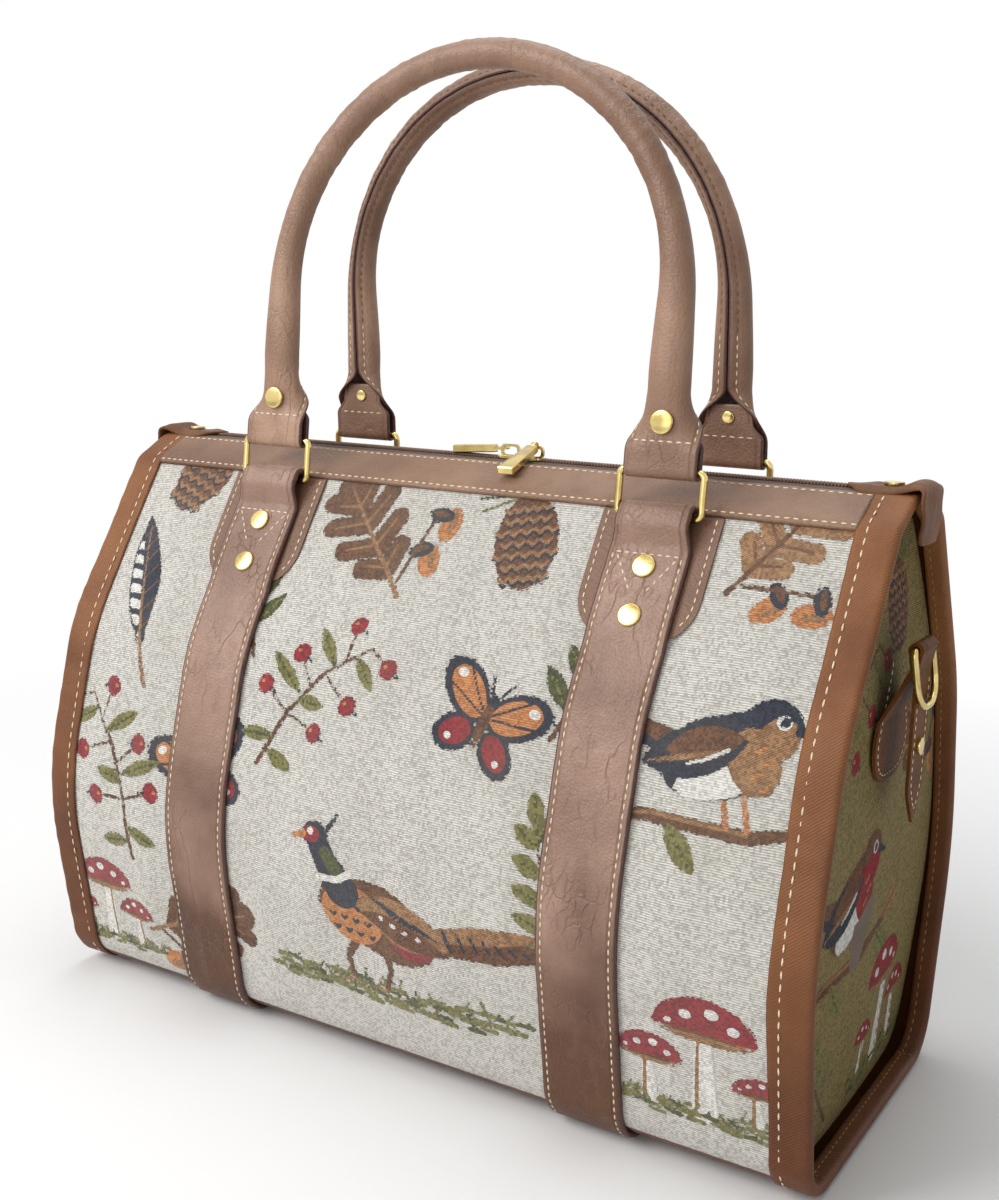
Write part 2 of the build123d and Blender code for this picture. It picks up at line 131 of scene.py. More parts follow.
def along_at_height(z):
    """How far round the section, from the middle of the base, a height on the bag's wall lies."""
    wall = section.points[:, 1]
    return float(np.interp(z, wall[1:-1], section.distances[1:-1]))


def points_at(x, y, z):
    """Points in metres, from coordinates in millimetres."""
    return np.stack(np.broadcast_arrays(x, y, z), axis=-1) * MM


def on_bag(x, along, out, face):
    """Points on the bag: x, the distance round its section, the height off the cloth, and the face."""
    y, z = section.beside(along, out)
    return points_at(x, face * y, z)


def smooth(low, high, value):
    """0 below low, 1 above high, and an even curve between."""
    share = np.clip((value - low) / (high - low), 0, 1)
    return share * share * (3 - 2 * share)


def ripple(x, y, size, seed):
    """Soft uneven waves from -1 to 1 over two coordinates."""
    draw = np.random.default_rng(seed)
    total = 0
    for _ in range(6):
        turn, phase, stretch = draw.uniform(0, math.tau, 2).tolist() + [draw.uniform(0.6, 1.6)]
        run = x * math.cos(turn) + y * math.sin(turn)
        total = total + np.sin(run * math.tau / (size * stretch) + phase)
    return total / 3


# Pieces
def ready(piece, body, finish, replaces=()):
    """Gives a piece its finish, its body and the solids that it stands for."""
    piece.data.materials.append(finish)
    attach(piece, body)
    if replaces:
        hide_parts(*replaces)


def corners_of(mesh):
    """A mesh's points, and which of them each corner of its faces lies at."""
    points = np.empty(len(mesh.vertices) * 3, np.float32)
    mesh.vertices.foreach_get("co", points)
    order = np.empty(len(mesh.loops), np.int32)
    mesh.loops.foreach_get("vertex_index", order)
    return points.reshape(-1, 3).astype(float), order


def merge(mesh, fill=False):
    """Joins the points that coincide, closes open ends if asked, and turns the faces outwards."""
    shell = bmesh.new()
    shell.from_mesh(mesh)
    bmesh.ops.remove_doubles(shell, verts=shell.verts, dist=1e-6)
    rims = [edge for edge in shell.edges if edge.is_boundary]
    if rims and fill:
        bmesh.ops.holes_fill(shell, edges=rims, sides=0)
    bmesh.ops.recalc_face_normals(shell, faces=shell.faces)
    shell.to_mesh(mesh)
    shell.free()


def mesh_from(name, shape):
    mesh = bpy.data.meshes.new(name)
    shape.to_mesh(mesh)
    shape.free()
    return mesh


def piece_from(name, mesh):
    mesh.shade_smooth()
    piece = bpy.data.objects.new(name, mesh)
    bpy.context.scene.collection.objects.link(piece)
    return piece


def surface(name, cells, size, place, closed=False):
    """A grid of cells, size millimetres across and along, laid where place(across, along) says.

    The flat grid stays on the piece as its pattern, in metres. A closed one is a tube, whose ends are filled.
    """
    grid = bmesh.new()
    bmesh.ops.create_grid(grid, x_segments=cells[0], y_segments=cells[1], size=0.5)
    mesh = mesh_from(name, grid)
    corners, order = corners_of(mesh)
    flat = (corners[:, :2] + 0.5) * size
    placed = place(flat[:, 0], flat[:, 1])
    mesh.vertices.foreach_set("co", placed.astype(np.float32).ravel())
    pattern = mesh.uv_layers.new(name="flat")
    pattern.data.foreach_set("uv", (flat[order] * MM).astype(np.float32).ravel())
    if closed:
        merge(mesh, fill=True)
    mesh.update()
    return piece_from(name, mesh)


def dress(node, finish, edge=0.0):
    """Gives a solid from the frame its finish, and rounds its sharp edges."""
    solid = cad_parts[node]
    solid.data.materials.clear()
    solid.data.materials.append(finish)
    if edge:
        weld = solid.modifiers.new("joined", "WELD")
        weld.merge_threshold = 1e-5
        bevel = solid.modifiers.new("worn_edges", "BEVEL")
        bevel.width = edge * MM
        bevel.segments = 3
        bevel.limit_method = "ANGLE"
        bevel.angle_limit = math.radians(40)
        bevel.harden_normals = True


def between(distance, reach, places):
    """The place at a distance along a row of places, which lie at the distances in reach."""
    return Vector([np.interp(distance, reach, places[:, i]) for i in range(3)])


def batches(count):
    """The numbers up to count in short runs, because a large mesh is slow to add to."""
    return [range(first, min(first + 25, count)) for first in range(0, count, 25)]


class Stitches:
    """Rows of thread, sewn one stitch after another along lines of points."""

    def __init__(self):
        self.sewn = bmesh.new()

    def row(self, points, outs, length=3.0, gap=1.25, width=0.85, height=0.55):
        """points are in metres, outs are directions off the surface, and sizes are in millimetres."""
        points = np.asarray(points, float)
        outs = np.asarray(outs, float)
        reach = np.append(0, np.cumsum(np.linalg.norm(np.diff(points, axis=0), axis=1))) / MM
        count = max(1, round(reach[-1] / (length + gap)))
        pitch = reach[-1] / count
        for batch in batches(count):
            few = bmesh.new()
            for number in batch:
                ends = [pitch * number + gap / 2, pitch * (number + 1) - gap / 2]
                start, stop = [between(end, reach, points) for end in ends]
                out = between(sum(ends) / 2, reach, outs)
                sway = 0.16 * math.sin(2.4 * number)
                self.stitch(few, start, stop, out, width * MM, height * MM, sway * MM)
            self.take(few)

    def stitch(self, few, start, stop, out, width, height, sway):
        forward = (stop - start).normalized()
        across = out.cross(forward).normalized()
        forward = (stop - start + across * sway).normalized()
        up = forward.cross(across)
        turned = Matrix((forward, across, up)).transposed().to_4x4()
        sized = Matrix.Diagonal(((stop - start).length / 2, width / 2, height / 2, 1))
        place = Matrix.Translation((start + stop) / 2) @ turned @ sized
        bmesh.ops.create_uvsphere(few, u_segments=6, v_segments=5, radius=1, matrix=place)

    def take(self, few):
        mesh = mesh_from("few", few)
        self.sewn.from_mesh(mesh)
        bpy.data.meshes.remove(mesh)

    def finish(self, name, body, thread=None, replaces=()):
        ready(piece_from(name, mesh_from(name, self.sewn)), body, thread or THREAD, replaces)


def on_piece(place, across, along, out):
    """A row that lies on a piece which place(across, along, out) lays, with the directions off it."""
    across, along = np.broadcast_arrays(np.asarray(across, float), np.asarray(along, float))
    low, high = place(across, along, out), place(across, along, out + 0.5)
    outs = high - low
    return low, outs / np.linalg.norm(outs, axis=1)[:, None]


def bag_row(stitches, x, along, out, face):
    """A row on the bag's wall, through points given as x and the distance round the section."""
    x, along = np.broadcast_arrays(np.asarray(x, float), np.asarray(along, float))
    out_y, out_z = section.out(along)
    outs = np.stack([np.zeros_like(out_y), face * out_y, out_z], axis=1)
    stitches.row(on_bag(x, along, out, face), outs)


# Finishes
def paint(red, green, blue):
    """A colour as a screen shows it, from 0 to 255, in the linear form that shaders take."""
    shown = [value / 255 for value in (red, green, blue)]
    linear = [v / 12.92 if v <= 0.04045 else ((v + 0.055) / 1.055) ** 2.4 for v in shown]
    return (*linear, 1.0)


class Steps:
    """The steps of a material or of the sky, made one after another."""

    def __init__(self, made_of):
        made_of.use_nodes = True
        self.tree = made_of.node_tree

    def step(self, kind, settings, output, **inputs):
        made = self.tree.nodes.new("ShaderNode" + kind)
        for name, value in settings.items():
            setattr(made, name, value)
        for name, value in inputs.items():
            self.feed(made.inputs[int(name[1:])], value)
        return made.outputs[output]

    def feed(self, socket, value):
        if isinstance(value, bpy.types.NodeSocket):
            self.tree.links.new(value, socket)
        else:
            socket.default_value = value

    def maths(self, operation, a, b=0.0):
        return self.step("Math", {"operation": operation}, 0, _0=a, _1=b)

    def plus(self, a, b):
        return self.maths("ADD", a, b)

    def times(self, a, b):
        return self.maths("MULTIPLY", a, b)

    def apart(self, a, b):
        return self.maths("ABSOLUTE", self.maths("SUBTRACT", a, b))

    def rise_and_fall(self, value):
        """Straight waves from 0 to 1, one for each whole number."""
        return self.times(self.maths("PINGPONG", value, 0.5), 2.0)

    def axis(self, where, number):
        return self.step("SeparateXYZ", {}, number, _0=where)

    def mix(self, share, a, b):
        return self.step("Mix", {"data_type": "RGBA"}, 2, _0=share, _6=a, _7=b)

    def spread(self, value, low, high, to_low=0.0, to_high=1.0):
        return self.step("MapRange", {"clamp": True}, 0, _0=value, _1=low, _2=high, _3=to_low, _4=to_high)


class Finish(Steps):
    """A material of one painted, dyed or bare surface."""

    def __init__(self, name):
        self.material = bpy.data.materials.new(name)
        super().__init__(self.material)
        self.shader = self.tree.nodes["Principled BSDF"]

    def noise(self, where, size, detail, rough=0.5):
        """Noise whose features are about size millimetres."""
        return self.step("TexNoise", {}, 0, _0=where, _2=1000 / size, _3=detail, _4=rough)

    def cells(self, where, size, feature="F1"):
        return self.step("TexVoronoi", {"feature": feature}, "Distance", _0=where, _2=1000 / size)

    def solid_place(self):
        return self.step("TexCoord", {}, "Object")

    def flat_place(self):
        return self.step("UVMap", {"uv_map": "flat"}, 0)

    def stretched(self, where, scale):
        return self.step("Mapping", {"vector_type": "POINT"}, 0, _0=where, _3=scale)

    def bump(self, height, depth):
        """height from 0 to 1 stands for depth millimetres."""
        return self.step("Bump", {}, 0, _0=1.0, _1=depth * MM, _3=height)

    def strip_place(self, width, thickness, inset, edge):
        """On a strip: how near its painted edge is, from 0 to 1, and the dent along its rows of stitches."""
        middle = width + 0.571 * edge + thickness + width / 2 - 0.858 * edge
        across = self.apart(self.axis(self.flat_place(), 0), middle * MM)
        painted = self.spread(across, (width / 2 - 1.1) * MM, (width / 2 - 0.5) * MM)
        off = self.apart(across, (width / 2 - inset) * MM)
        return painted, self.spread(off, 0.2 * MM, 1.5 * MM, 1.0, 0.0)

    def surface(self, colour, roughness, normal=None, **fixed):
        self.feed(self.shader.inputs["Base Color"], colour)
        self.feed(self.shader.inputs["Roughness"], roughness)
        if normal is not None:
            self.feed(self.shader.inputs["Normal"], normal)
        for name, value in fixed.items():
            self.shader.inputs[name.replace("_", " ")].default_value = value
        return self.material


def leather(name, light, dark, low=None, roughness=0.46, grain=0.26, strip=None, creased=0.0, twill=0.0,
            gloss=0.42):
    """Grained leather: pores, creases, a cloudy dye, and painted shade that darkens and warms it towards the
    bag's foot.

    strip is the width, the thickness, the stitches' inset and the rounding of a strip with painted edges;
    the dent along its rows of stitches is darkened with painted shade.
    twill is the pitch of a slanting grain pressed into it, in millimetres.
    low is the painted shade at the bag's foot: its light and dark colours, and the heights in metres
    where it begins and where it is full.
    """
    f = Finish(name)
    where = f.solid_place()
    clouds = f.noise(where, 55, 3)
    pores = f.cells(where, 1.25)
    fine = f.noise(where, 0.7, 3)
    folds = f.noise(f.stretched(where, (1.0, 1.0, 0.35)), 7, 5, 0.62)
    colour = f.mix(f.spread(clouds, 0.3, 0.7), dark, light)
    if low is not None:
        # Painted shade: darker, warmer colours towards the bag's foot
        level = f.plus(f.axis(where, 2), f.times(f.maths("SUBTRACT", clouds, 0.5), 0.12))
        foot = f.mix(f.spread(clouds, 0.3, 0.7), low[0], low[1])
        colour = f.mix(f.spread(level, low[2], low[3]), colour, foot)
    colour = f.mix(f.spread(pores, 0.0, 0.4, 0.42, 0.0), colour, dark)
    colour = f.mix(f.spread(folds, 0.28, 0.46, 0.45, 0.0), colour, dark)
    height = f.plus(f.plus(pores, f.times(folds, 2.4)), f.times(fine, 0.35))
    if creased:
        sway = f.step("TexNoise", {}, 1, _0=where, _2=110.0)
        sway = f.step("VectorMath", {"operation": "SCALE"}, 0, _0=sway, _3=0.007)
        bent = f.step("VectorMath", {"operation": "ADD"}, 0, _0=f.stretched(where, (1.0, 1.0, 0.55)), _1=sway)
        lines = f.cells(bent, 5.5, "DISTANCE_TO_EDGE")
        worn = f.spread(f.noise(where, 30, 2), 0.5, 0.68, 0.0, creased)
        line = f.times(f.spread(lines, 0.0, 0.09, 1.0, 0.0), worn)
        winding = f.noise(f.stretched(where, (1.0, 1.0, 0.3)), 24, 3)
        winding = f.spread(f.apart(winding, 0.5), 0.0, 0.013, creased, 0.0)
        line = f.maths("MAXIMUM", line, f.times(winding, f.spread(clouds, 0.45, 0.6)))
        colour = f.mix(f.times(line, 0.4), colour, dark)
        height = f.maths("SUBTRACT", height, f.times(line, 1.5))
    if twill:
        across, along = [f.axis(f.flat_place(), number) for number in (0, 1)]
        slant = f.rise_and_fall(f.maths("DIVIDE", f.plus(along, f.times(across, 0.8)), twill * MM))
        colour = f.mix(f.spread(slant, 0.7, 0.15, 0.0, 0.75), colour, dark)
        height = f.plus(height, f.times(slant, 0.9))
    if strip is not None:
        painted, dent = f.strip_place(*strip)
        # Painted shade in the dent along the rows of stitches
        colour = f.mix(f.times(dent, 0.22), colour, dark)
        colour = f.mix(painted, colour, paint(82, 50, 40))
        height = f.maths("SUBTRACT", height, f.times(dent, 2.6))
    rough = f.spread(fine, 0.3, 0.7, roughness - 0.06, roughness + 0.1)
    return f.surface(colour, rough, f.bump(height, grain), Specular_IOR_Level=gloss)


def metal(name, light, dark, roughness, metallic=1.0):
    f = Finish(name)
    where = f.solid_place()
    wear = f.noise(where, 9, 4)
    scratches = f.noise(f.stretched(where, (1, 1, 6)), 1.4, 2)
    colour = f.mix(f.spread(wear, 0.4, 0.75, 0.0, 0.7), light, dark)
    rough = f.spread(scratches, 0.35, 0.7, roughness, roughness + 0.12)
    return f.surface(colour, rough, f.bump(scratches, 0.004), Metallic=metallic)


def woven(name, light, dark, pitch, twill):
    """Narrow cloth with a slanting rib."""
    f = Finish(name)
    where = f.solid_place()
    x, y, z = [f.axis(where, number) for number in range(3)]
    ribs = f.plus(z, f.times(f.plus(x, y), twill))
    wave = f.maths("PINGPONG", f.maths("DIVIDE", ribs, pitch * MM), 0.5)
    cross = f.maths("PINGPONG", f.maths("DIVIDE", x, pitch * MM), 0.5)
    height = f.plus(f.times(wave, 1.4), f.times(cross, 0.6))
    colour = f.mix(f.spread(height, 0.2, 0.9), dark, light)
    colour = f.mix(f.spread(f.noise(where, 22, 3), 0.35, 0.65, 0.0, 0.25), colour, dark)
    return f.surface(colour, 0.85, f.bump(height, 0.25), Sheen_Weight=0.2)


def thread(name, light, dark):
    f = Finish(name)
    where = f.solid_place()
    strands = f.noise(where, 0.4, 2)
    colour = f.mix(f.spread(strands, 0.3, 0.7), dark, light)
    return f.surface(colour, 0.7, f.bump(strands, 0.08))


# The cloth's coloured threads: each has a light and a dark tone, the slant of its twill, and how uneven
# its edge is
THREADS = {
    "moss": (paint(140, 134, 78), paint(88, 86, 44), 1.3, -1.0),
    "fern": (paint(98, 100, 58), paint(50, 58, 34), 1.3, 0.6),
    "tan": (paint(176, 134, 94), paint(112, 78, 52), -1.1, 1.0),
    "umber": (paint(124, 82, 54), paint(64, 42, 32), -1.1, -0.6),
    "amber": (paint(204, 140, 86), paint(150, 88, 50), 0.0, 0.2),
    "wine": (paint(168, 42, 50), paint(96, 22, 36), 2.2, -0.2),
    "silver": (paint(238, 236, 230), paint(178, 174, 166), 0.0, 0.8),
    "ink": (paint(50, 56, 72), paint(20, 22, 32), 0.8, -0.8),
}
# The pitch of the ground's ribs and of the threads' twill, and half of the finest line's width
RIB = 1.1
TWILL = 1.7
FINEST = 0.62


def tapestry(name, light, dark, sheen=0.15, gloss=0.5):
    """Ribbed ground with figures of coloured thread, each bounded by a distance kept on the cloth."""
    f = Finish(name)
    where = f.flat_place()
    rows = f.maths("DIVIDE", f.axis(where, 1), RIB * MM)
    columns = f.maths("DIVIDE", f.axis(where, 0), RIB * 1.1 * MM)
    rib = f.rise_and_fall(f.plus(rows, f.times(f.noise(where, 9, 2), 0.7)))
    cell = f.step("CombineXYZ", {}, 0, _0=f.maths("FLOOR", columns), _1=f.maths("FLOOR", rows))
    loose = f.maths("SUBTRACT", f.step("TexWhiteNoise", {"noise_dimensions": "2D"}, 0, _0=cell), 0.5)
    fleck = f.noise(f.stretched(where, (1, 3, 1)), 1.1, 2)
    ground = f.mix(f.spread(rib, 0.05, 0.7), dark, light)
    flecked = f.spread(f.plus(fleck, f.times(loose, 0.5)), 0.4, 0.8, 0.0, 0.85)
    ground = f.mix(flecked, ground, dark)
    patchy = f.noise(where, 7, 3)
    nearest, colour, floats = 50.0, ground, rib
    for thread_name, (bright, dull, slant, sway) in THREADS.items():
        edge = f.step("Attribute", {"attribute_name": thread_name}, 2)
        edge = f.step("Math", {"operation": "MULTIPLY_ADD"}, 0, _0=loose, _1=sway, _2=edge)
        nearer = f.maths("LESS_THAN", edge, nearest)
        raised = f.rise_and_fall(f.plus(f.times(columns, slant * RIB / TWILL), rows))
        tone = f.plus(raised, f.plus(loose, f.times(patchy, 0.9)))
        colour = f.mix(nearer, colour, f.mix(f.spread(tone, 0.4, 1.5), dull, bright))
        floats = f.step("Mix", {"data_type": "FLOAT"}, 0, _0=nearer, _2=floats, _3=raised)
        nearest = f.maths("MINIMUM", edge, nearest)
    drawn = f.step("Attribute", {"attribute_name": "drawn"}, 2)
    inside = f.spread(f.plus(drawn, f.times(loose, 1.2)), 0.16, -0.16)
    colour = f.mix(inside, ground, colour)
    height = f.plus(f.times(rib, 0.7), f.times(inside, f.plus(floats, 0.5)))
    clouds = f.noise(where, 60, 3)
    colour = f.mix(f.spread(clouds, 0.35, 0.7, 0.0, 0.14), colour, paint(150, 142, 122))
    return f.surface(colour, 0.82, f.bump(height, 0.2), Sheen_Weight=sheen, Specular_IOR_Level=gloss)


THREAD = thread("sewing_thread", paint(246, 232, 206), paint(214, 190, 152))
DARK_THREAD = thread("dark_thread", paint(132, 94, 66), paint(88, 58, 40))
SHADED_THREAD = thread("shaded_thread", paint(176, 140, 88), paint(128, 96, 54))
TAPESTRY = tapestry("tapestry_cloth", paint(229, 226, 219), paint(150, 146, 137))
# The ends' cloth: the panels' cloth painted darker and more olive, as painted shade
SHADED_END_TAPESTRY = tapestry("end_weave_shaded", paint(160, 144, 92), paint(84, 68, 36), sheen=0.02, gloss=0.15)
# Painted shade at the straps' foot: its light and dark colours, and the heights in metres where it begins and
# where it is full
STRAP_FOOT_SHADE = (paint(64, 32, 8), paint(98, 56, 20), 0.135, 0.06)
STRAP_LEATHER = leather("strap_hide", paint(168, 134, 116), paint(118, 86, 66), STRAP_FOOT_SHADE,
                        strip=(STRAP_WIDTH, STRAP_T, 3.0, STRIP_EDGE), creased=1.0, gloss=0.62)
PATCH_LEATHER = leather("patch_hide", paint(138, 104, 84), paint(104, 72, 54))
HANDLE_LEATHER = leather("handle_hide", paint(168, 132, 108), paint(118, 84, 62), creased=0.8, grain=0.17,
                         strip=(36.0, 1.8, 2.6, 0.5), gloss=0.62)
FACING_LEATHER = leather("facing_hide", paint(150, 116, 92), paint(108, 76, 54), gloss=0.5)
TAB_LEATHER = leather("tab_hide", paint(130, 90, 62), paint(90, 58, 36), gloss=0.15)
SIDE_LEATHER = leather("side_hide", paint(124, 78, 38), paint(80, 46, 18), roughness=0.45, gloss=0.06)
# The end bands' leather is painted near black, as painted shade inside the rims
SHADED_BAND_LEATHER = leather("band_hide_shaded", paint(66, 38, 16), paint(42, 22, 10), gloss=0.0)
BASE_LEATHER = leather("base_hide", paint(112, 70, 42), paint(80, 48, 28))
# The binding darkens towards the bag's foot: painted shade
BINDING = leather("binding_hide", paint(166, 112, 66), paint(112, 66, 34),
                  (paint(64, 30, 12), paint(104, 58, 28), 0.24, 0.03), roughness=0.5, grain=0.12, twill=1.5,
                  gloss=0.3)
GOLD = metal("polished_gold", paint(230, 206, 138), paint(162, 134, 70), 0.13)
LINING = woven("lining_cloth", paint(126, 100, 72), paint(88, 66, 46), 0.6, 1.0)
ZIP_CLOTH = woven("zip_cloth", paint(98, 66, 46), paint(60, 38, 26), 0.7, 1.0)
ZIP_COIL = metal("zip_coil", paint(118, 84, 62), paint(82, 54, 38), 0.35, metallic=0.0)
BOARD = leather("board", paint(60, 54, 50), paint(40, 36, 34))


# Figures of the cloth. Each is drawn in its own units, about its own middle
class Loom:
    """The cloth's coloured fields, kept at its points as distances from each field's edge."""

    def __init__(self, across, up):
        self.across, self.up = across, up
        self.fields = {name: np.full(across.shape, 6.0) for name in THREADS}
        self.drawn = np.full(across.shape, 6.0)

    def keep(self, mesh):
        for name, field in [*self.fields.items(), ("drawn", self.drawn)]:
            kept = mesh.attributes.new(name, "FLOAT", "POINT")
            kept.data.foreach_set("value", np.clip(field, -6, 6).astype(np.float32))


class Figure:
    """One figure on the cloth, turned, sized and perhaps facing the other way."""

    def __init__(self, loom, x, y, size, turn, reach):
        flip, size = np.sign(size), abs(size)
        right, up = loom.across - x, loom.up - y
        self.part = np.nonzero(np.hypot(right, up) < reach * size)[0]
        right, up = right[self.part] / size, up[self.part] / size
        cos, sin = math.cos(math.radians(turn)), math.sin(math.radians(turn))
        self.x = (right * cos + up * sin) * flip
        self.y = up * cos - right * sin
        self.loom, self.size = loom, size

    def lay(self, colour, *shapes):
        edge = np.minimum.reduce(shapes) * self.size
        for name, field in self.loom.fields.items():
            was = field[self.part]
            field[self.part] = np.minimum(was, edge) if name == colour else np.maximum(was, -edge)
        self.loom.drawn[self.part] = np.minimum(self.loom.drawn[self.part], edge)

    def oval(self, x, y, long, short, turn=0.0):
        cos, sin = math.cos(math.radians(turn)), math.sin(math.radians(turn))
        right, up = self.x - x, self.y - y
        reach = np.hypot((right * cos + up * sin) / long, (up * cos - right * sin) / short)
        return (reach - 1) * min(long, short)

    def stroke(self, *points):
        """A line through points, each given as x, y and half of its width there."""
        found = []
        points = [(x, y, max(r, FINEST / self.size)) for x, y, r in points]
        for (x0, y0, r0), (x1, y1, r1) in zip(points, points[1:]):
            run = np.array((x1 - x0, y1 - y0))
            share = ((self.x - x0) * run[0] + (self.y - y0) * run[1]) / (run @ run)
            share = np.clip(share, 0, 1)
            off = np.hypot(self.x - x0 - share * run[0], self.y - y0 - share * run[1])
            found.append(off - r0 - share * (r1 - r0))
        return np.minimum.reduce(found)

    def blade(self, x0, y0, x1, y1, width):
        """A leaf with two points, from one to the other."""
        half = math.hypot(x1 - x0, y1 - y0) / 2
        cos, sin = (x1 - x0) / (2 * half), (y1 - y0) / (2 * half)
        right, up = self.x - (x0 + x1) / 2, self.y - (y0 + y1) / 2
        along, off = right * cos + up * sin, up * cos - right * sin
        bow = (half * half + width * width / 4) / width
        middle = bow - width / 2
        return np.maximum(np.hypot(along, off + middle), np.hypot(along, off - middle)) - bow

    def line(self, colour, *points):
        self.lay(colour, self.stroke(*points))

    def spot(self, colour, *sizes):
        self.lay(colour, self.oval(*sizes))

    def leaf(self, x0, y0, x1, y1, width, colour, vein):
        self.lay(colour, self.blade(x0, y0, x1, y1, width))
        self.line(vein, (x0, y0, 0.5), (x0 * 0.15 + x1 * 0.85, y0 * 0.15 + y1 * 0.85, 0.25))


def turf(figure, left, right, level, seed, blades=26):
    """Tufts of grass along a stretch of ground."""
    draw = np.random.default_rng(seed)
    for number in range(blades):
        x = left + (right - left) * (number + draw.uniform(0, 1)) / blades
        y = level + draw.uniform(-3.2, 2.2)
        lean, tall = draw.uniform(-3, 3), draw.uniform(1.0, 5.5)
        colour = "fern" if number % 4 == 0 else "moss"
        figure.lay(colour, figure.stroke((x - 3, y, 1.1), (x + 3, y + 0.4, 0.9)),
                   figure.stroke((x, y, 0.8), (x + lean, y + tall, 0.25)))


def bird(f, back="umber", breast="wine"):
    """A small garden bird on a leafy twig."""
    f.line("umber", (-46, -27, 1.3), (-22, -22, 2.2), (14, -23, 2.4), (40, -16, 1.2))
    f.line("tan", (-40, -25, 0.5), (-20, -21, 0.7), (14, -22, 0.7))
    f.leaf(-34, -26, -52, -12, 9, "moss", "fern")
    f.leaf(-28, -25, -38, -42, 9, "fern", "moss")
    f.leaf(-14, -23, -2, -38, 8, "moss", "fern")
    f.leaf(30, -19, 46, -33, 9, "moss", "fern")
    f.leaf(36, -17, 54, -8, 8, "tan", "umber")
    f.lay("amber", f.stroke((4, -11, 0.9), (7, -21, 0.9)), f.stroke((11, -9, 0.9), (14, -21, 0.9)))
    f.line("ink", (-12, 1, 5.4), (-31, 6, 3.6), (-43, 10, 3.0))
    f.line("umber", (-14, 3, 3.6), (-31, 8, 1.8), (-42, 12, 1.2))
    f.lay(back, f.oval(0, 0, 20, 13.5, 18), f.oval(17, 13, 9.6, 9.0), f.stroke((4, 6, 9), (15, 11, 8)))
    f.spot("silver", 0, -8, 13, 5.4, 14)
    f.lay(breast, f.oval(13, 1, 8.6, 11, 24), f.oval(20, 10, 6.2, 6.6), f.stroke((14, 4, 6), (19, 9, 6)))
    for number in range(4):
        shift, level = number % 2 * 3, -4 * number
        f.line("amber", (16 + shift, 6 + level, 0.6), (13 + shift, 4 + level, 0.5))
    f.lay("ink", f.blade(10, 7, -26, -5, 17))
    f.lay("umber", f.blade(9, 8, -18, 0, 11))
    for number in range(4):
        f.line("tan", (2 - 4 * number, 2.6 - number, 0.5), (-12 - 4 * number, -2.4 - number * 0.8, 0.35))
    f.line("silver", (4, 3.4, 0.7), (-4, -1.4, 0.6), (-9, -3.2, 0.4))
    f.spot("silver", 20, 15, 2.5, 2.4)
    f.spot("ink", 20.3, 15, 1.5, 1.5)
    f.line("ink", (25.5, 13, 1.7), (32, 11, 0.3))


def pheasant(f):
    """A cock pheasant walking through rough grass."""
    turf(f, -64, 52, -30, 12, 40)
    f.lay("umber", f.blade(-16, -4, -80, 4, 11))
    f.lay("tan", f.blade(-16, -1, -74, 10, 7))
    for number in range(9):
        back = -5.5 * number
        f.line("ink", (back - 26, 4 - 0.2 * number, 0.7), (back - 29, -5 + 0.9 * number, 0.6))
    f.lay("umber", f.stroke((-2, -10, 2.4), (-6, -20, 1.4), (-3, -30, 1.0)),
          f.stroke((9, -10, 2.4), (15, -20, 1.4), (12, -30, 1.0)))
    f.lay("tan", f.stroke((-3, -30, 0.8), (4, -31, 0.7)), f.stroke((12, -30, 0.8), (19, -31, 0.7)))
    f.lay("umber", f.oval(-1, -1, 27, 14.5, 12), f.stroke((8, 2, 12), (17, 8, 7)))
    f.spot("amber", 11, -1, 14, 12, 28)
    f.spot("wine", -16, -5, 11, 7.5, 10)
    for row in range(4):
        for number in range(4):
            x, y = 3 + 5.2 * number + 1.5 * (row % 2), -9 + 5.4 * row + 0.6 * number
            f.line("ink", (x - 1.3, y, 0.6), (x, y - 1.4, 0.7), (x + 1.3, y, 0.6))
    f.lay("tan", f.blade(10, 5, -34, -4, 18))
    f.lay("umber", f.blade(8, 1, -34, -7, 9))
    for number in range(5):
        f.line("ink", (2 - 5 * number, 8 - 1.4 * number, 0.6), (-9 - 5 * number, 2.4 - 1.0 * number, 0.5))
    for number in range(4):
        f.spot("silver", -2 - 6 * number, 0.4 - 1.1 * number, 1.6, 0.9, 10)
    f.lay("ink", f.stroke((15, 8, 7.4), (22, 19, 5.2), (26, 27, 4.8)), f.oval(27, 28, 6.2, 5.2, 10))
    f.line("fern", (17, 15, 3.0), (22, 22, 2.6))
    f.line("silver", (11.5, 15.5, 1.5), (17, 12, 1.5), (25.5, 12, 1.4))
    f.spot("wine", 29, 28, 4.2, 3.2)
    f.spot("silver", 29.4, 29, 1.5, 1.5)
    f.line("ink", (21, 32, 1.2), (17.5, 37, 0.6))
    f.line("amber", (33, 27.4, 1.6), (39, 25.4, 0.5))
    turf(f, -58, 46, -34, 13, 30)


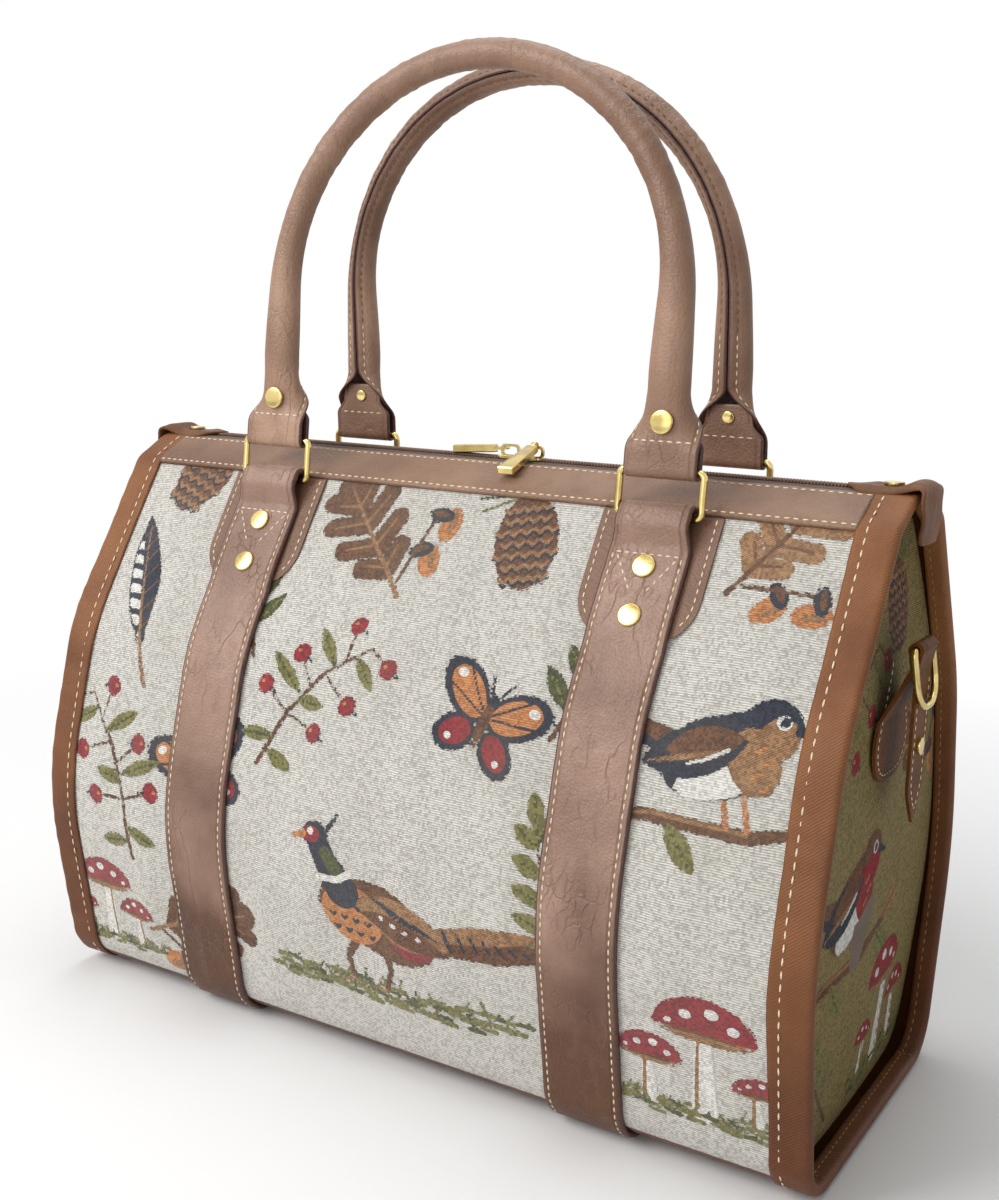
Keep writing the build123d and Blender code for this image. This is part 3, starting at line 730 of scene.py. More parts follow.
def oak(f, colour="umber", vein="tan"):
    """A lobed oak leaf with two acorns."""
    lobes = [f.oval(0, 26, 7, 8)]
    for step, (reach, level) in enumerate(((9, -12), (13, -1), (14, 11), (10, 21))):
        for side in (-1, 1):
            lobes.append(f.stroke((0, level - 4, 4.5), (side * reach, level + 2 + step, 4.2)))
    f.lay(colour, *lobes)
    f.line(vein, (0, -30, 1.1), (0, -10, 0.9), (0, 28, 0.4))
    for reach, level in ((8, -12), (12, -1), (13, 11), (8, 20)):
        for side in (-1, 1):
            f.line(vein, (0, level - 3, 0.6), (side * reach, level + 3, 0.3))
    for nut_x, nut_y, lean in ((17, -22, -24), (30, -13, -48)):
        f.line("umber", (2, -24, 0.8), (nut_x, nut_y + 7, 0.7))
        f.spot("amber", nut_x, nut_y - 2, 4.6, 7.2, lean)
        f.spot("tan", nut_x + 1.2, nut_y - 2, 1.5, 4.6, lean)
        f.spot("ink", nut_x - 1.2, nut_y + 4.4, 5.6, 3.2, lean)
        f.spot("umber", nut_x - 1.2, nut_y + 5.0, 4.0, 1.4, lean)


def toadstools(f):
    """Three toadstools in the grass."""
    turf(f, -38, 38, -27, 5)
    for foot_x, foot_y, tall, wide in ((-4, -26, 34, 21), (19, -28, 20, 14), (-25, -27, 15, 10)):
        top = foot_y + tall
        f.line("silver", (foot_x, foot_y, wide * 0.26), (foot_x + 1, top, wide * 0.17))
        f.line("tan", (foot_x + wide * 0.16, foot_y, 0.8), (foot_x + wide * 0.13, top, 0.6))
        f.spot("tan", foot_x, top, wide * 0.9, wide * 0.2)
        f.line("umber", (foot_x - wide * 0.6, top - 0.6, 0.4), (foot_x + wide * 0.6, top - 0.6, 0.4))
        cap = np.maximum(f.oval(foot_x, top, wide, wide * 0.72), top - f.y)
        f.lay("wine", cap)
        for x, y, long in ((-0.55, 0.22, 0.12), (-0.14, 0.44, 0.14), (0.36, 0.32, 0.12), (0.7, 0.12, 0.08)):
            f.spot("silver", foot_x + x * wide, top + y * wide, long * wide, long * wide * 0.8)
    turf(f, -34, 34, -30, 6, 20)


def cone(f):
    """A pine cone hanging from a twig of needles."""
    for number in range(11):
        lean = math.radians(200 - 22 * number)
        tip = (24 * math.cos(lean), 22 + 17 * math.sin(lean), 0.3)
        f.line("fern" if number % 2 else "moss", (0, 21, 0.7), tip)
    f.line("umber", (0, 20, 1.6), (-5, 34, 1.2), (-14, 42, 0.9))
    f.spot("umber", 0, -2, 15, 23)
    for row in range(7):
        level = 15 - 5.6 * row
        half = 14 * math.sqrt(max(0.05, 1 - ((level + 2) / 24) ** 2))
        for number in range(-2, 3):
            x = (number + 0.5 * (row % 2)) * half / 2.2
            if abs(x) < half:
                f.line("tan", (x - 2.4, level, 0.7), (x, level - 2.6, 1.0), (x + 2.4, level, 0.7))
                low = level - 1.9
                f.line("ink", (x - 2.6, low, 0.35), (x, level - 4.4, 0.4), (x + 2.6, low, 0.35))


def hips(f):
    """An arching spray of red hips."""
    f.line("umber", (-34, -30, 1.2), (-16, -6, 1.0), (6, 12, 0.9), (32, 22, 0.6))
    for x0, y0, x1, y1 in ((-16, -6, -28, 8), (-2, 5, -8, 22), (6, 12, 20, -4), (18, 17, 22, 34),
                           (32, 22, 42, 12), (-16, -6, 0, -16)):
        f.line("umber", (x0, y0, 0.6), (x1, y1, 0.5))
        f.spot("wine", x1, y1, 5.0, 4.4, 30)
        f.spot("amber", x1 - 1.6, y1 + 1.4, 1.3, 1.0)
        f.line("ink", (x1 + 3.4, y1 - 2.4, 0.8), (x1 + 5.6, y1 - 4.2, 0.4))
    for blade in ((-24, -17, -44, -14), (-10, 0, 6, -4), (-8, 3, -24, 24), (12, 14, 2, 34),
                  (24, 19, 34, 2), (-28, -23, -14, -34)):
        f.leaf(*blade, 7, "moss", "fern")


def plume(f):
    """A barred feather."""
    vane = np.minimum(f.blade(0, -22, 4, 40, 17), f.stroke((0, -20, 2.5), (2, 26, 5)))
    f.lay("ink", vane)
    f.lay("silver", np.maximum(vane + 0.8, f.x - 0.6))
    for number in range(7):
        level = -16 + 7.5 * number
        f.lay("ink", np.maximum(f.stroke((1, level, 1.4), (-8, level + 5, 0.9)), vane + 0.2))
        f.lay("umber", np.maximum(f.stroke((1, level + 1, 0.5), (9, level + 6, 0.4)), vane + 0.2))
    f.line("tan", (-2, -40, 0.9), (0, -16, 0.8), (4, 34, 0.3))


def moth(f):
    """A moth with open wings."""
    for side in (-1, 1):
        f.lay("ink", f.oval(side * 14, 9, 16, 9.5, side * 32), f.oval(side * 11, -9, 10.5, 8, side * -38))
        f.spot("amber", side * 13, 8.6, 12.5, 7, side * 32)
        f.spot("wine", side * 10.6, -8.6, 8, 5.6, side * -38)
        f.lay("silver", f.oval(side * 20, 14, 2.6, 2), f.oval(side * 13, -12, 1.8, 1.6))
        f.lay("ink", f.stroke((side * 3, 3, 0.5), (side * 22, 8, 0.4)),
              f.stroke((side * 3, 5, 0.5), (side * 17, 17, 0.4)))
        f.line("ink", (side * 1, 10, 0.5), (side * 6, 20, 0.4))
    f.spot("umber", 0, 0, 2.4, 11)
    f.spot("ink", 0, 10, 2.2, 2.4)


def sprig(f, colour="moss", vein="fern"):
    """A stem with leaves in pairs."""
    f.line("umber", (0, -34, 1.1), (1, 0, 0.8), (-1, 30, 0.5))
    for number in range(5):
        level = -22 + 11 * number
        reach = 18 - 2.2 * number
        f.leaf(0, level, -reach, level + 10, 7, colour, vein)
        f.leaf(0, level + 3, reach, level + 13, 7, colour, vein)
    f.leaf(0, 28, 0, 44, 7, colour, vein)


# How far a figure's shapes go from its middle, where that isn't 60 of its units
REACHES = {pheasant: 90}

# Where the figures lie: the figure, its place across and up the cloth, its size, its turn, and other
# colours than its usual ones. One whose size is below zero faces the other way
FRONT_FIGURES = [
    (sprig, 104, 216, 1.2, -24, "fern", "moss"),
    (sprig, -104, 228, 1.15, 22, "fern", "moss"),
    (moth, -112, 128, 1.15, 22),
    (oak, -118, 42, 1.25, -70),
    (sprig, 96, 104, 1.2, 14),
    (pheasant, 2, 76, -1.28, 0),
    (oak, -40, 262, 1.3, 42),
    (hips, -46, 176, 1.05, 10),
    (moth, 52, 180, 1.12, -18),
    (cone, 46, 272, 1.1, 14),
    (bird, 166, 184, 1.3, 0, "ink", "tan"),
    (toadstools, 168, 56, -1.15, 0),
    (oak, 172, 286, 1.2, -34, "tan", "umber"),
    (plume, -176, 212, 1.25, 24),
    (hips, -176, 118, -1.1, -30),
    (cone, -164, 292, 1.15, -20),
    (toadstools, -182, 42, 0.95, 0),
]
# The back is cut from further along the same roll
BACK_FIGURES = [(figure, (x + 350) % 440 - 220, y, *rest) for figure, x, y, *rest in FRONT_FIGURES]
END_FIGURES = [
    (bird, -30, 118, 1.35, 0),
    (oak, 50, 176, 1.25, 30),
    (toadstools, 40, 52, 1.2, 0),
    (hips, -44, 204, 1.1, 10),
    (cone, 12, 250, 0.95, 12),
    (sprig, -58, 44, 1.1, 40),
]


# Cloths
CLOTH_CELLS = (330, 290)
END_CELLS = (300, 150)
END_DEPTH = 2.8
END_X = 202.0
END_DOME = 9.0
END_MIDDLE_Z = 151.5
END_HALF = (86.0, 148.5)
DOME_R = (END_HALF[0] ** 2 + END_HALF[1] ** 2) / (2 * END_DOME)


def weave(piece, across, up, figures):
    """Keeps the figures at the points of a cloth, which lie so far across and up its pattern."""
    loom = Loom(across, up)
    for figure, x, y, size, turn, *colours in figures:
        figure(Figure(loom, x, y, size, turn, REACHES.get(figure, 60)), *colours)
    loom.keep(piece.data)


def panel_relief(x, along):
    """How far the stretched cloth stands off its smooth shape.

    It is fuller between the straps, and puckered where it is sewn down.
    """
    top = along_at_height(FACING_LOW_Z) - 2
    low = along_at_height(SEAM_Z)
    tied = np.minimum(np.abs(np.abs(x) - STRAP_X) - STRAP_WIDTH / 2, BINDING_INNER_X - np.abs(x))
    tied = np.clip(tied, 0, None)
    ends = np.clip(np.minimum(along - low, top - along), 0, None)
    free = smooth(0, 26, tied) * smooth(0, 40, ends)
    puckers = np.exp(-tied / 12) * np.sin(along / 4.3 + 1.7 * ripple(x, along, 90, 3)) * smooth(0, 20, ends)
    hem = np.exp(-ends / 18) * np.sin(x / 6.5 + 2 * ripple(x, along, 120, 4)) * smooth(0, 8, tied)
    waves = ripple(x, along * 0.45, 34, 5) * smooth(0, 30, ends)
    return (1.7 * free + 1.1 * free * ripple(x, along, 80, 1) + 0.34 * puckers * smooth(0, 4, tied)
            + 0.3 * hem * smooth(0, 3, ends) + 0.55 * free * waves)


def panels():
    """The front and the back cloth, from the base's edge to under the zip's facing."""
    low, top = along_at_height(SEAM_Z), section.length - ZIP_HALF_GAP - 2
    wide, tall = 2 * PANEL_HALF, top - low
    for name, face in FACES.items():
        def place(across, up, face=face):
            x = across - PANEL_HALF
            return on_bag(x * -face, low + up, panel_relief(x, low + up), face)
        cloth = surface(name + "_cloth", CLOTH_CELLS, (wide, tall), place)
        x = corners_of(cloth.data)[0][:, 0] / MM * -face
        up = np.repeat(np.linspace(0, tall, CLOTH_CELLS[1] + 1), CLOTH_CELLS[0] + 1)
        weave(cloth, x, up, FRONT_FIGURES if name == "front" else BACK_FIGURES)
        ready(cloth, "bag", TAPESTRY, [name + "_panel"])


def whole_section(inset):
    """The closed outline of the bag's section, moved inwards."""
    along = np.linspace(0, section.length, 500)
    half = np.stack(section.beside(along, -inset), axis=1)
    other = half[::-1] * (-1, 1)
    return Line(np.concatenate([half, other[1:]]))


def end_cloths():
    """The woven ends, bellied out like drumskins inside their rims."""
    rim = whole_section(END_DEPTH)
    for name, side in SIDES.items():
        def place(girth, out, side=side):
            y, z = rim.at(girth)
            share = out / 100
            y, off = y * share, (z - END_MIDDLE_Z) * share
            z = END_MIDDLE_Z + off
            bulge = DOME_R - np.sqrt(DOME_R ** 2 - y ** 2 - off ** 2)
            sag = 0.8 * (ripple(y, z, 110, 8) - 1) * smooth(1.0, 0.75, share)
            x = END_X + END_DOME + 1.4 - bulge + sag
            return points_at(side * x, y, z)
        cloth = surface("end_cloth_" + name, END_CELLS, (rim.length, 100.0), place)
        merge(cloth.data)
        corners, order = corners_of(cloth.data)
        places = corners / MM
        pattern = cloth.data.uv_layers["flat"]
        pattern.data.foreach_set("uv", corners[order, 1:].astype(np.float32).ravel())
        cloth.data.shade_smooth()
        weave(cloth, places[:, 1], places[:, 2], END_FIGURES)
        # Its finish is painted shade: a darker copy of the panels' cloth
        ready(cloth, "bag", SHADED_END_TAPESTRY, ["end_panel_" + name])
        y, z = rim.points[:, 0], rim.points[:, 1]
        area = abs(np.sum(y * np.roll(z, -1) - z * np.roll(y, -1))) / 2
        np.ptp(y) * MM
        np.ptp(z) * MM


def strip(name, length, width, thickness, place, cells, edge=STRIP_EDGE):
    """A strip with a rounded flat section and filled ends. place(across, along, out) lays it."""
    half, thick = width / 2, thickness / 2
    corners = [(-half, -thick, edge), (half, -thick, edge), (half, thick, edge), (-half, thick, edge)]
    rim = Line(rounded(corners, closed=True, fineness=4))

    def laid(girth, along):
        across, out = rim.at(girth)
        return place(across, along, out)
    return surface(name, cells, (rim.length, length), laid, closed=True)


# Straps
STRAP_ROW = 17.0
TOP_ROW_BACK = 34.5
SLANT_END_Z = 268.5


def strap_line():
    """Half of a strap's middle line: round the bag, onto the patch, and round the ring's lower bar."""
    lift_from, lift_to = along_at_height(PATCH_LOW_Z) - 7, along_at_height(PATCH_LOW_Z) + 4
    roll_from = along_at_height(SLOPE_FOOT[1]) - 20
    along = np.linspace(0, roll_from, 420)
    out = STRAP_T / 2 + PATCH_T * smooth(lift_from, lift_to, along)
    wall = np.stack(section.beside(along, out), axis=1)
    roll = rounded([(-20, 2.9, 0), (-14.5, 2.9, 7), (-5.5, 9.6, 5), (4.6, 10.3, 4.6), (4.8, 2.9, 2.2),
                    (0, 2.6, 0)])
    roll = SLOPE_FOOT + roll[1:, :1] * SLOPE_UP + roll[1:, 1:] * SLOPE_OUT
    return Line(np.concatenate([wall, roll]))


def straps():
    """Both straps, with rows along their edges, across each end and slanting in to its upper rivet."""
    line = strap_line()
    total = 2 * line.length
    narrow_from = line.length - 34
    for name, side in SIDES.items():
        def place(across, along, out, side=side):
            signed = along - line.length
            face = np.where(signed < 0, -1, 1)
            far = np.abs(signed)
            wide = 1 - 0.1 * smooth(narrow_from, line.length - 20, far)
            crown = 0.25 * (1 - (across / (STRAP_WIDTH / 2)) ** 2)
            worn = 0.22 * ripple(across + side * 50, signed, 34, 11) + 0.1 * ripple(across, signed, 9, 12)
            y, z = line.beside(far, out + np.where(out > 0, crown + worn, 0))
            return points_at(side * STRAP_X + across * wide, face * y, z)
        strap = strip("strap_" + name + "_leather", total, STRAP_WIDTH, STRAP_T, place, (48, 520))
        ready(strap, "bag", STRAP_LEATHER, ["strap_" + name])
        sewn = Stitches()
        top = line.length - TOP_ROW_BACK
        rivet = np.interp(SLANT_END_Z, line.points[:400, 1], line.distances[:400])
        for face in FACES.values():
            rows = [(across, across, 0, top) for across in (-STRAP_ROW, STRAP_ROW)]
            rows += [(-16.4, 16.4, top, top), (-15, -4, top - 1, rivet), (15, 4, top - 1, rivet)]
            for across_from, across_to, start, stop in rows:
                across = np.linspace(across_from, across_to, 240)
                along = line.length + face * np.linspace(start, stop, 240)
                sewn.row(*on_piece(place, across, along, STRAP_T / 2))
        sewn.finish("strap_" + name + "_stitching", "bag")


def patch_stitching():
    """The row that follows each patch's edge down one side, round its foot and up the other."""
    sewn = Stitches()
    inset = 3.0
    foot = along_at_height(PATCH_LOW_Z) + inset
    top = along_at_height(FACING_LOW_Z) - 1
    half = PATCH_HALF - inset
    corner = PATCH_CORNER - inset
    edge = rounded([(-half, top, 0), (-half, foot, corner), (half, foot, corner), (half, top, 0)])
    for side in SIDES.values():
        for face in FACES.values():
            for part in (edge[edge[:, 0] < -STRAP_WIDTH / 2 - 1], edge[edge[:, 0] > STRAP_WIDTH / 2 + 1]):
                bag_row(sewn, side * STRAP_X + part[:, 0], part[:, 1], PATCH_T + 0.1, face)
    sewn.finish("patch_stitching", "bag")


# Bound rims
FOLD_LOW = -4.0
FOLD_END_X = 210.0
RIM_ROW_X = 206.2
INNER_ROW_X = 213.4
LAP_ROWS_Y = (-70.5, -66.0, 66.0, 70.5)


def binding_section():
    """The folded leather's section, as x and the height off the body's wall."""
    inner, crest = BINDING_INNER_X, BAG_HALF + 0.4
    return Line(rounded([(inner, 1.3, 0.6), (crest, 1.5, 2.4), (crest, FOLD_LOW, 2.4),
                         (FOLD_END_X, FOLD_LOW, 0.5), (FOLD_END_X, -2.8, 0.2), (218.4, -2.8, 0.4),
                         (218.4, 0, 0.4), (inner, 0, 0.2)], closed=True, fineness=5))


def bindings():
    """The leather folded over both rims, with a row outside, a row inside and the rows of its lap."""
    shape = binding_section()
    loop = whole_section(0.0)
    for name, side in SIDES.items():
        def place(girth, along, side=side):
            x, out = shape.at(girth)
            off_ends = smooth(0, 30, along) * smooth(0, 30, loop.length - along)
            inner_edge = smooth(BINDING_INNER_X + 8, BINDING_INNER_X, x) * (out > -0.5) * off_ends
            puckers = 0.16 * np.sin(along / 2.3 + 2 * ripple(along, 0, 60, 22))
            puckers = puckers + 0.3 * ripple(along, x, 40, 23)
            x = x + 0.5 * ripple(along, side * 40.0, 70, 21) * inner_edge
            y, z = loop.beside(along, out + np.where(out > 0.4, puckers * off_ends, 0))
            return points_at(side * x, y, z)
        size = (shape.length, loop.length)
        rim = surface("rim_binding_" + name + "_leather", (44, 560), size, place, closed=True)
        ready(rim, "bag", BINDING, ["rim_binding_" + name])
        along = np.linspace(0, loop.length, 700)
        outs = np.stack([np.zeros_like(along), *loop.out(along)], 1)
        sewn, inner = Stitches(), Stitches()
        sewn.row(points_at(side * RIM_ROW_X, *loop.beside(along, 1.45)), outs, 4.0, 1.6, 0.9)
        sewn.finish("rim_stitching_" + name, "bag")
        inner.row(points_at(side * INNER_ROW_X, *loop.beside(along, FOLD_LOW - 0.1)), -outs, 3.2, 1.5, 0.7)
        across = side * np.linspace(210.5, 219.0, 20)
        for lap_y in LAP_ROWS_Y:
            inner.row(points_at(across, lap_y, 7.15), np.tile((0.0, 0.0, 1.0), (20, 1)), 1.7, 0.9, 0.7)
        inner.finish("rim_inner_stitching_" + name, "bag", SHADED_THREAD)


# Zip
TAPE_WIDTH = 13.0
TAPE_T = 0.8
TAPE_MIDDLE = 7.6
TURNS = 245
TURN_PITCH = 1.6
TURN_R = 1.0
TURN_LENGTH = 3.3
TURN_Z = 301.3


def zip_parts():
    """Facings, tapes and the coil's turns, which lie between each other like closed teeth."""
    low, top = along_at_height(FACING_LOW_Z), section.length - ZIP_HALF_GAP
    middle, wide = (low + top) / 2, top - low
    sewn = Stitches()
    teeth = Stitches()
    for name, face in FACES.items():
        def place(across, along, out, face=face):
            x = along - FACING_HALF
            pressed = 1 - 0.45 * smooth(wide / 2 - 5, wide / 2 - 0.5, across)
            worn = np.where(out > 0, 0.12 * ripple(x, across, 30, 31), 0)
            return on_bag(x, middle + across, (out + FACING_T / 2 + worn) * pressed, face)
        facing = strip("zip_facing_" + name + "_leather", 2 * FACING_HALF, wide, FACING_T, place,
                       (26, 260), 0.6)
        ready(facing, "bag", FACING_LEATHER, ["zip_facing_" + name])
        x = np.linspace(-FACING_HALF, FACING_HALF, 60)
        for along, out in ((low + 2.6, FACING_T + 0.1), (top - 4.5, FACING_T)):
            bag_row(sewn, x, np.full_like(x, along), out, face)

        def place_tape(across, along, out, face=face):
            return on_bag(along - ZIP_HALF, section.length - TAPE_MIDDLE + across, out + TAPE_T / 2, face)
        tape = strip("zip_tape_" + name + "_cloth", 2 * ZIP_HALF, TAPE_WIDTH, TAPE_T, place_tape,
                     (14, 120), 0.2)
        ready(tape, "bag", ZIP_CLOTH, ["zip_tape_" + name])
        for batch in batches(TURNS):
            few = bmesh.new()
            for number in batch:
                x_turn = TURN_PITCH * (number - (TURNS - 1) / 2 + face / 4)
                laid = (Matrix.Translation(Vector((x_turn, face * 1.75, TURN_Z)) * MM)
                        @ Matrix.Diagonal((0.6, 1, 1, 1)) @ Matrix.Rotation(math.pi / 2, 4, "X"))
                bmesh.ops.create_cone(few, cap_ends=True, segments=8, radius1=TURN_R * MM,
                                      radius2=TURN_R * MM, depth=TURN_LENGTH * MM, matrix=laid)
            teeth.take(few)
    sewn.finish("zip_stitching", "bag")
    teeth.finish("zip_teeth", "bag", ZIP_COIL, ["zip_coil_front", "zip_coil_back"])


# Handles
SHEET_T = 1.8
BAR_R = 2.95
FLAP_WIDTH = 36.0
TUBE_R = 6.1
INNER_LEG = 28.0
SEAM_FROM = 62.0
FRONT_ROW = 13.0
BACK_ROW = 16.0


def in_handle(x, y, z, face):
    """Takes points of an upright handle standing on its ring's upper bar to the leaning one."""
    cos, sin = math.cos(HANDLE_LEAN), math.sin(HANDLE_LEAN)
    y, z = RING_TOP[0] + y * cos - z * sin, RING_TOP[1] + y * sin + z * cos
    return points_at(x, face * y, z)


def arch_line():
    """The handle's middle line: up from the left ring, over the arch, and down to the right one."""
    leg_top = HANDLE_HEIGHT - STRAP_X
    angles = np.linspace(math.pi, 0, 120)
    arch = np.stack([STRAP_X * np.cos(angles), leg_top + STRAP_X * np.sin(angles)], 1)
    left = [(-STRAP_X, z) for z in np.linspace(0, leg_top, 20)[:-1]]
    right = [(STRAP_X, z) for z in np.linspace(leg_top, 0, 20)[1:]]
    return Line(np.concatenate([left, arch, right]))


def handle_place(face, arch, total):
    """One piece of leather: up behind the ring's bar, round it, and rolled to a tube over the arch."""
    turn = math.pi * BAR_R

    def place(across, along, out):
        far = np.minimum(along, total - along)
        height = np.clip(far - INNER_LEG - turn, 0, None)
        bend = np.clip((far - INNER_LEG) / BAR_R, 0, math.pi)
        behind = np.clip(INNER_LEG - far, 0, None)
        on_arch = np.where(along < total / 2, height, arch.length - height)
        x, z = arch.at(on_arch)
        in_x, in_z = arch.out(on_arch)

        curl = smooth(8, 36, height) / TUBE_R + 1e-4
        squash = 0.2 * smooth(12, 24, height) * smooth(41, 27, height)
        wide = 1 + 0.55 * smooth(15, 34, height) * smooth(118, 42, height)
        sheet = FLAP_WIDTH + (math.tau * TUBE_R - 0.3 - FLAP_WIDTH) * smooth(22, 36, height)
        sheet = sheet - 2 * 5.0 * smooth(11, 19, behind) - 2 * 1.5 * smooth(20, 28, behind)
        angle = across * sheet / FLAP_WIDTH * curl
        lip = smooth(0.82, 0.97, np.abs(across) / (FLAP_WIDTH / 2)) * smooth(30, 50, height)
        wave = 0.16 * ripple(along, 7 * np.cos(angle) + 4 * np.sin(angle), 9, 41) * smooth(90, 140, height)
        wave = wave + 0.2 * ripple(along, 7 * np.cos(angle), 46, 42) * smooth(4, 30, height)
        off = out + 1.0 * lip + wave
        aside = np.sin(angle) / curl * wide + off * np.sin(angle)
        depth = BAR_R + (TUBE_R - BAR_R) * smooth(17, 46, height)
        depth = depth - (1 - np.cos(angle)) / curl * (1 - squash) + off * np.cos(angle)
        round_y, round_z = -np.cos(bend) * (BAR_R + out), -np.sin(bend) * (BAR_R + out) + behind
        on_bar = height <= 0
        y = np.where(on_bar, round_y, depth)
        z = np.where(on_bar, round_z, z + in_z * aside)
        return in_handle(x + in_x * aside, y, z, face)
    return place


def handles():
    """Both handles, the rows on their flaps and the seam under each arch."""
    arch = arch_line()
    foot = INNER_LEG + math.pi * BAR_R
    total = arch.length + 2 * foot
    edge = FLAP_WIDTH / 2 - 2.6
    share = np.linspace(0, 1, 400)
    for name, face in FACES.items():
        body = "handle_" + name
        place = handle_place(face, arch, total)
        hide = strip(body + "_leather", total, FLAP_WIDTH, SHEET_T, place, (64, 520), 0.5)
        ready(hide, body, HANDLE_LEATHER, [body])
        sewn, seam = Stitches(), Stitches()
        middle = total - 2 * foot - 2 * SEAM_FROM
        for across in (-edge, edge):
            seam.row(*on_piece(place, across, foot + SEAM_FROM + middle * share, SHEET_T / 2), width=0.7)
            for end in (0, total):
                along = abs(end - foot - FRONT_ROW - (SEAM_FROM - FRONT_ROW) * share)
                sewn.row(*on_piece(place, across, along, SHEET_T / 2), width=0.75)
        seam.finish(body + "_seam_stitching", body, DARK_THREAD)
        for end in (0, total):
            for height in (foot + FRONT_ROW, BACK_ROW):
                along = abs(end - height)
                wide = edge - (0.5 if height > foot else 1.5)
                sewn.row(*on_piece(place, wide * (2 * share - 1), along, SHEET_T / 2))
        sewn.finish(body + "_stitching", body)


# Rivets: how far they lie up the strap from the ring's lower bar, or up the handle from its upper bar,
# and their radius and height
STRAP_RIVETS_UP = (-24.63, -48.56)
HANDLE_RIVET_UP = 21.5
RIVET = (5.6, 1.8)
SMALL_RIVET = (3.2, 1.1)


def head(few, spot, out, radius, height):
    """A rivet's head, with a flat top and a rounded rim."""
    turned = Vector(out).to_track_quat("Z", "X").to_matrix().to_4x4()
    place = Matrix.Translation(spot) @ turned @ Matrix.Translation((0, 0, height / 2 * MM))
    made = bmesh.ops.create_cone(few, cap_ends=True, segments=40, radius1=radius * MM, radius2=radius * MM,
                                 depth=height * MM, matrix=place)
    level = {vert: (place.inverted() @ vert.co).z for vert in made["verts"]}
    rim = {edge for vert in made["verts"] for edge in vert.link_edges
           if all(level[end] > 0 for end in edge.verts)}
    bmesh.ops.bevel(few, geom=list(rim), offset=height * 0.45 * MM, affect="EDGES", segments=3, profile=0.5,
                    material=-1)


def finish_heads(name, body, heads, node):
    """Puts rivet heads in the place of the plain rivets of a node."""
    ready(piece_from(name, mesh_from(name, heads)), body, GOLD, [node])


def rivets():
    heads = bmesh.new()
    for side in SIDES.values():
        for face in FACES.values():
            outwards = (0, face * SLOPE_OUT[0], SLOPE_OUT[1])
            for up in STRAP_RIVETS_UP:
                y, z = SLOPE_FOOT + up * SLOPE_UP + (STRAP_T + PATCH_T - 0.1) * SLOPE_OUT
                head(heads, Vector((side * STRAP_X, face * y, z)) * MM, outwards, *RIVET)
    finish_heads("strap_rivet_heads", "bag", heads, "strap_rivets")
    for name, face in FACES.items():
        heads = bmesh.new()
        outwards = Vector((0, face * math.cos(HANDLE_LEAN), math.sin(HANDLE_LEAN)))
        for side in SIDES.values():
            for y, turn, sizes in ((3.9, 1, RIVET), (-3.7, -1, SMALL_RIVET)):
                spot = Vector(in_handle(side * STRAP_X, y, HANDLE_RIVET_UP, face))
                head(heads, spot, outwards * turn, *sizes)
        finish_heads("handle_" + name + "_rivet_heads", "handle_" + name, heads, "handle_rivets_" + name)


# Tabs
SIDE_PATCH_X = 214.1
SIDE_FLAP_X = 226.1


def zip_end_tabs():
    """Soft leather over each end of the zip, narrower where it goes over the rim."""
    line = Line(rounded([(186, 301.9, 0), (197, 302.4, 10), (210, 302.2, 9), (217, 305.6, 5),
                         (222.7, 304.4, 4.2), (223.4, 292, 20), (222.4, 279, 0)]))
    for name, side in SIDES.items():
        def place(across, along, out, side=side):
            half = np.interp(along, (0, 2, 8, 14, 21, 27, 32, 40, 46, 58, 61, 64),
                             (3, 7, 13.2, 14.6, 13.2, 12.2, 13, 14.8, 15, 13.6, 12, 8))
            y = across * half / 13.5
            droop = 0.5 * np.clip(np.abs(y) - 8, 0, None) * smooth(40, 30, along)
            dent = 0.5 * np.exp(-((along - 30) / 5) ** 2) * (y / 13) ** 2
            out = out - 0.35 * ripple(along, y, 17, 61) - dent
            x, z = line.beside(along, -out)
            return points_at(side * x, y, z - droop)
        tab = strip("zip_end_tab_" + name + "_leather", line.length, 27, 1.8, place, (44, 90))
        ready(tab, "bag", TAB_LEATHER, ["zip_end_tab_" + name])


def side_tab_stitching():
    """Rows inside the edges of the patch and of the flap that hold each D-ring."""
    patch = rounded([(-8, 227, 0), (-8, 222.4, 14), (-21, 191.4, 14), (-21, 174, 14), (21, 174, 14),
                     (21, 191.4, 14), (8, 222.4, 14), (8, 227, 0)])
    flap = rounded([(-8, 219, 0), (-8, 170.5, 12), (0, 157, 1.5), (8, 170.5, 12), (8, 219, 0)])
    for name, side in SIDES.items():
        sewn = Stitches()
        for row, x in ((patch, SIDE_PATCH_X), (flap, SIDE_FLAP_X)):
            outs = np.tile((side, 0, 0), (len(row), 1))
            sewn.row(points_at(side * x, row[:, 0], row[:, 1]), outs, 2.6, 1.2, 0.75)
        sewn.finish("side_tab_stitching_" + name, "bag")


# Camera, lamps, sky and floor. The camera's lens is given as a share of the photograph's height
CAMERA_PLACE = (390.7, -632.7, 365.6)
CAMERA_TURN, CAMERA_PITCH, CAMERA_ROLL = 0.5481964, 0.1846699, 0.0289755
FOCAL_SHARE = 1449 / 1200
SKY_LIGHT = 0.36
LAMP_AIM = Vector((0, 0, 0.2))
LAMPS = [("key", (-1.1, -1.5, 1.5), 1.2, 31), ("front", (0.0, -2.0, 0.9), 1.4, 7),
         ("top", (-0.2, 0.3, 1.9), 1.3, 12)]


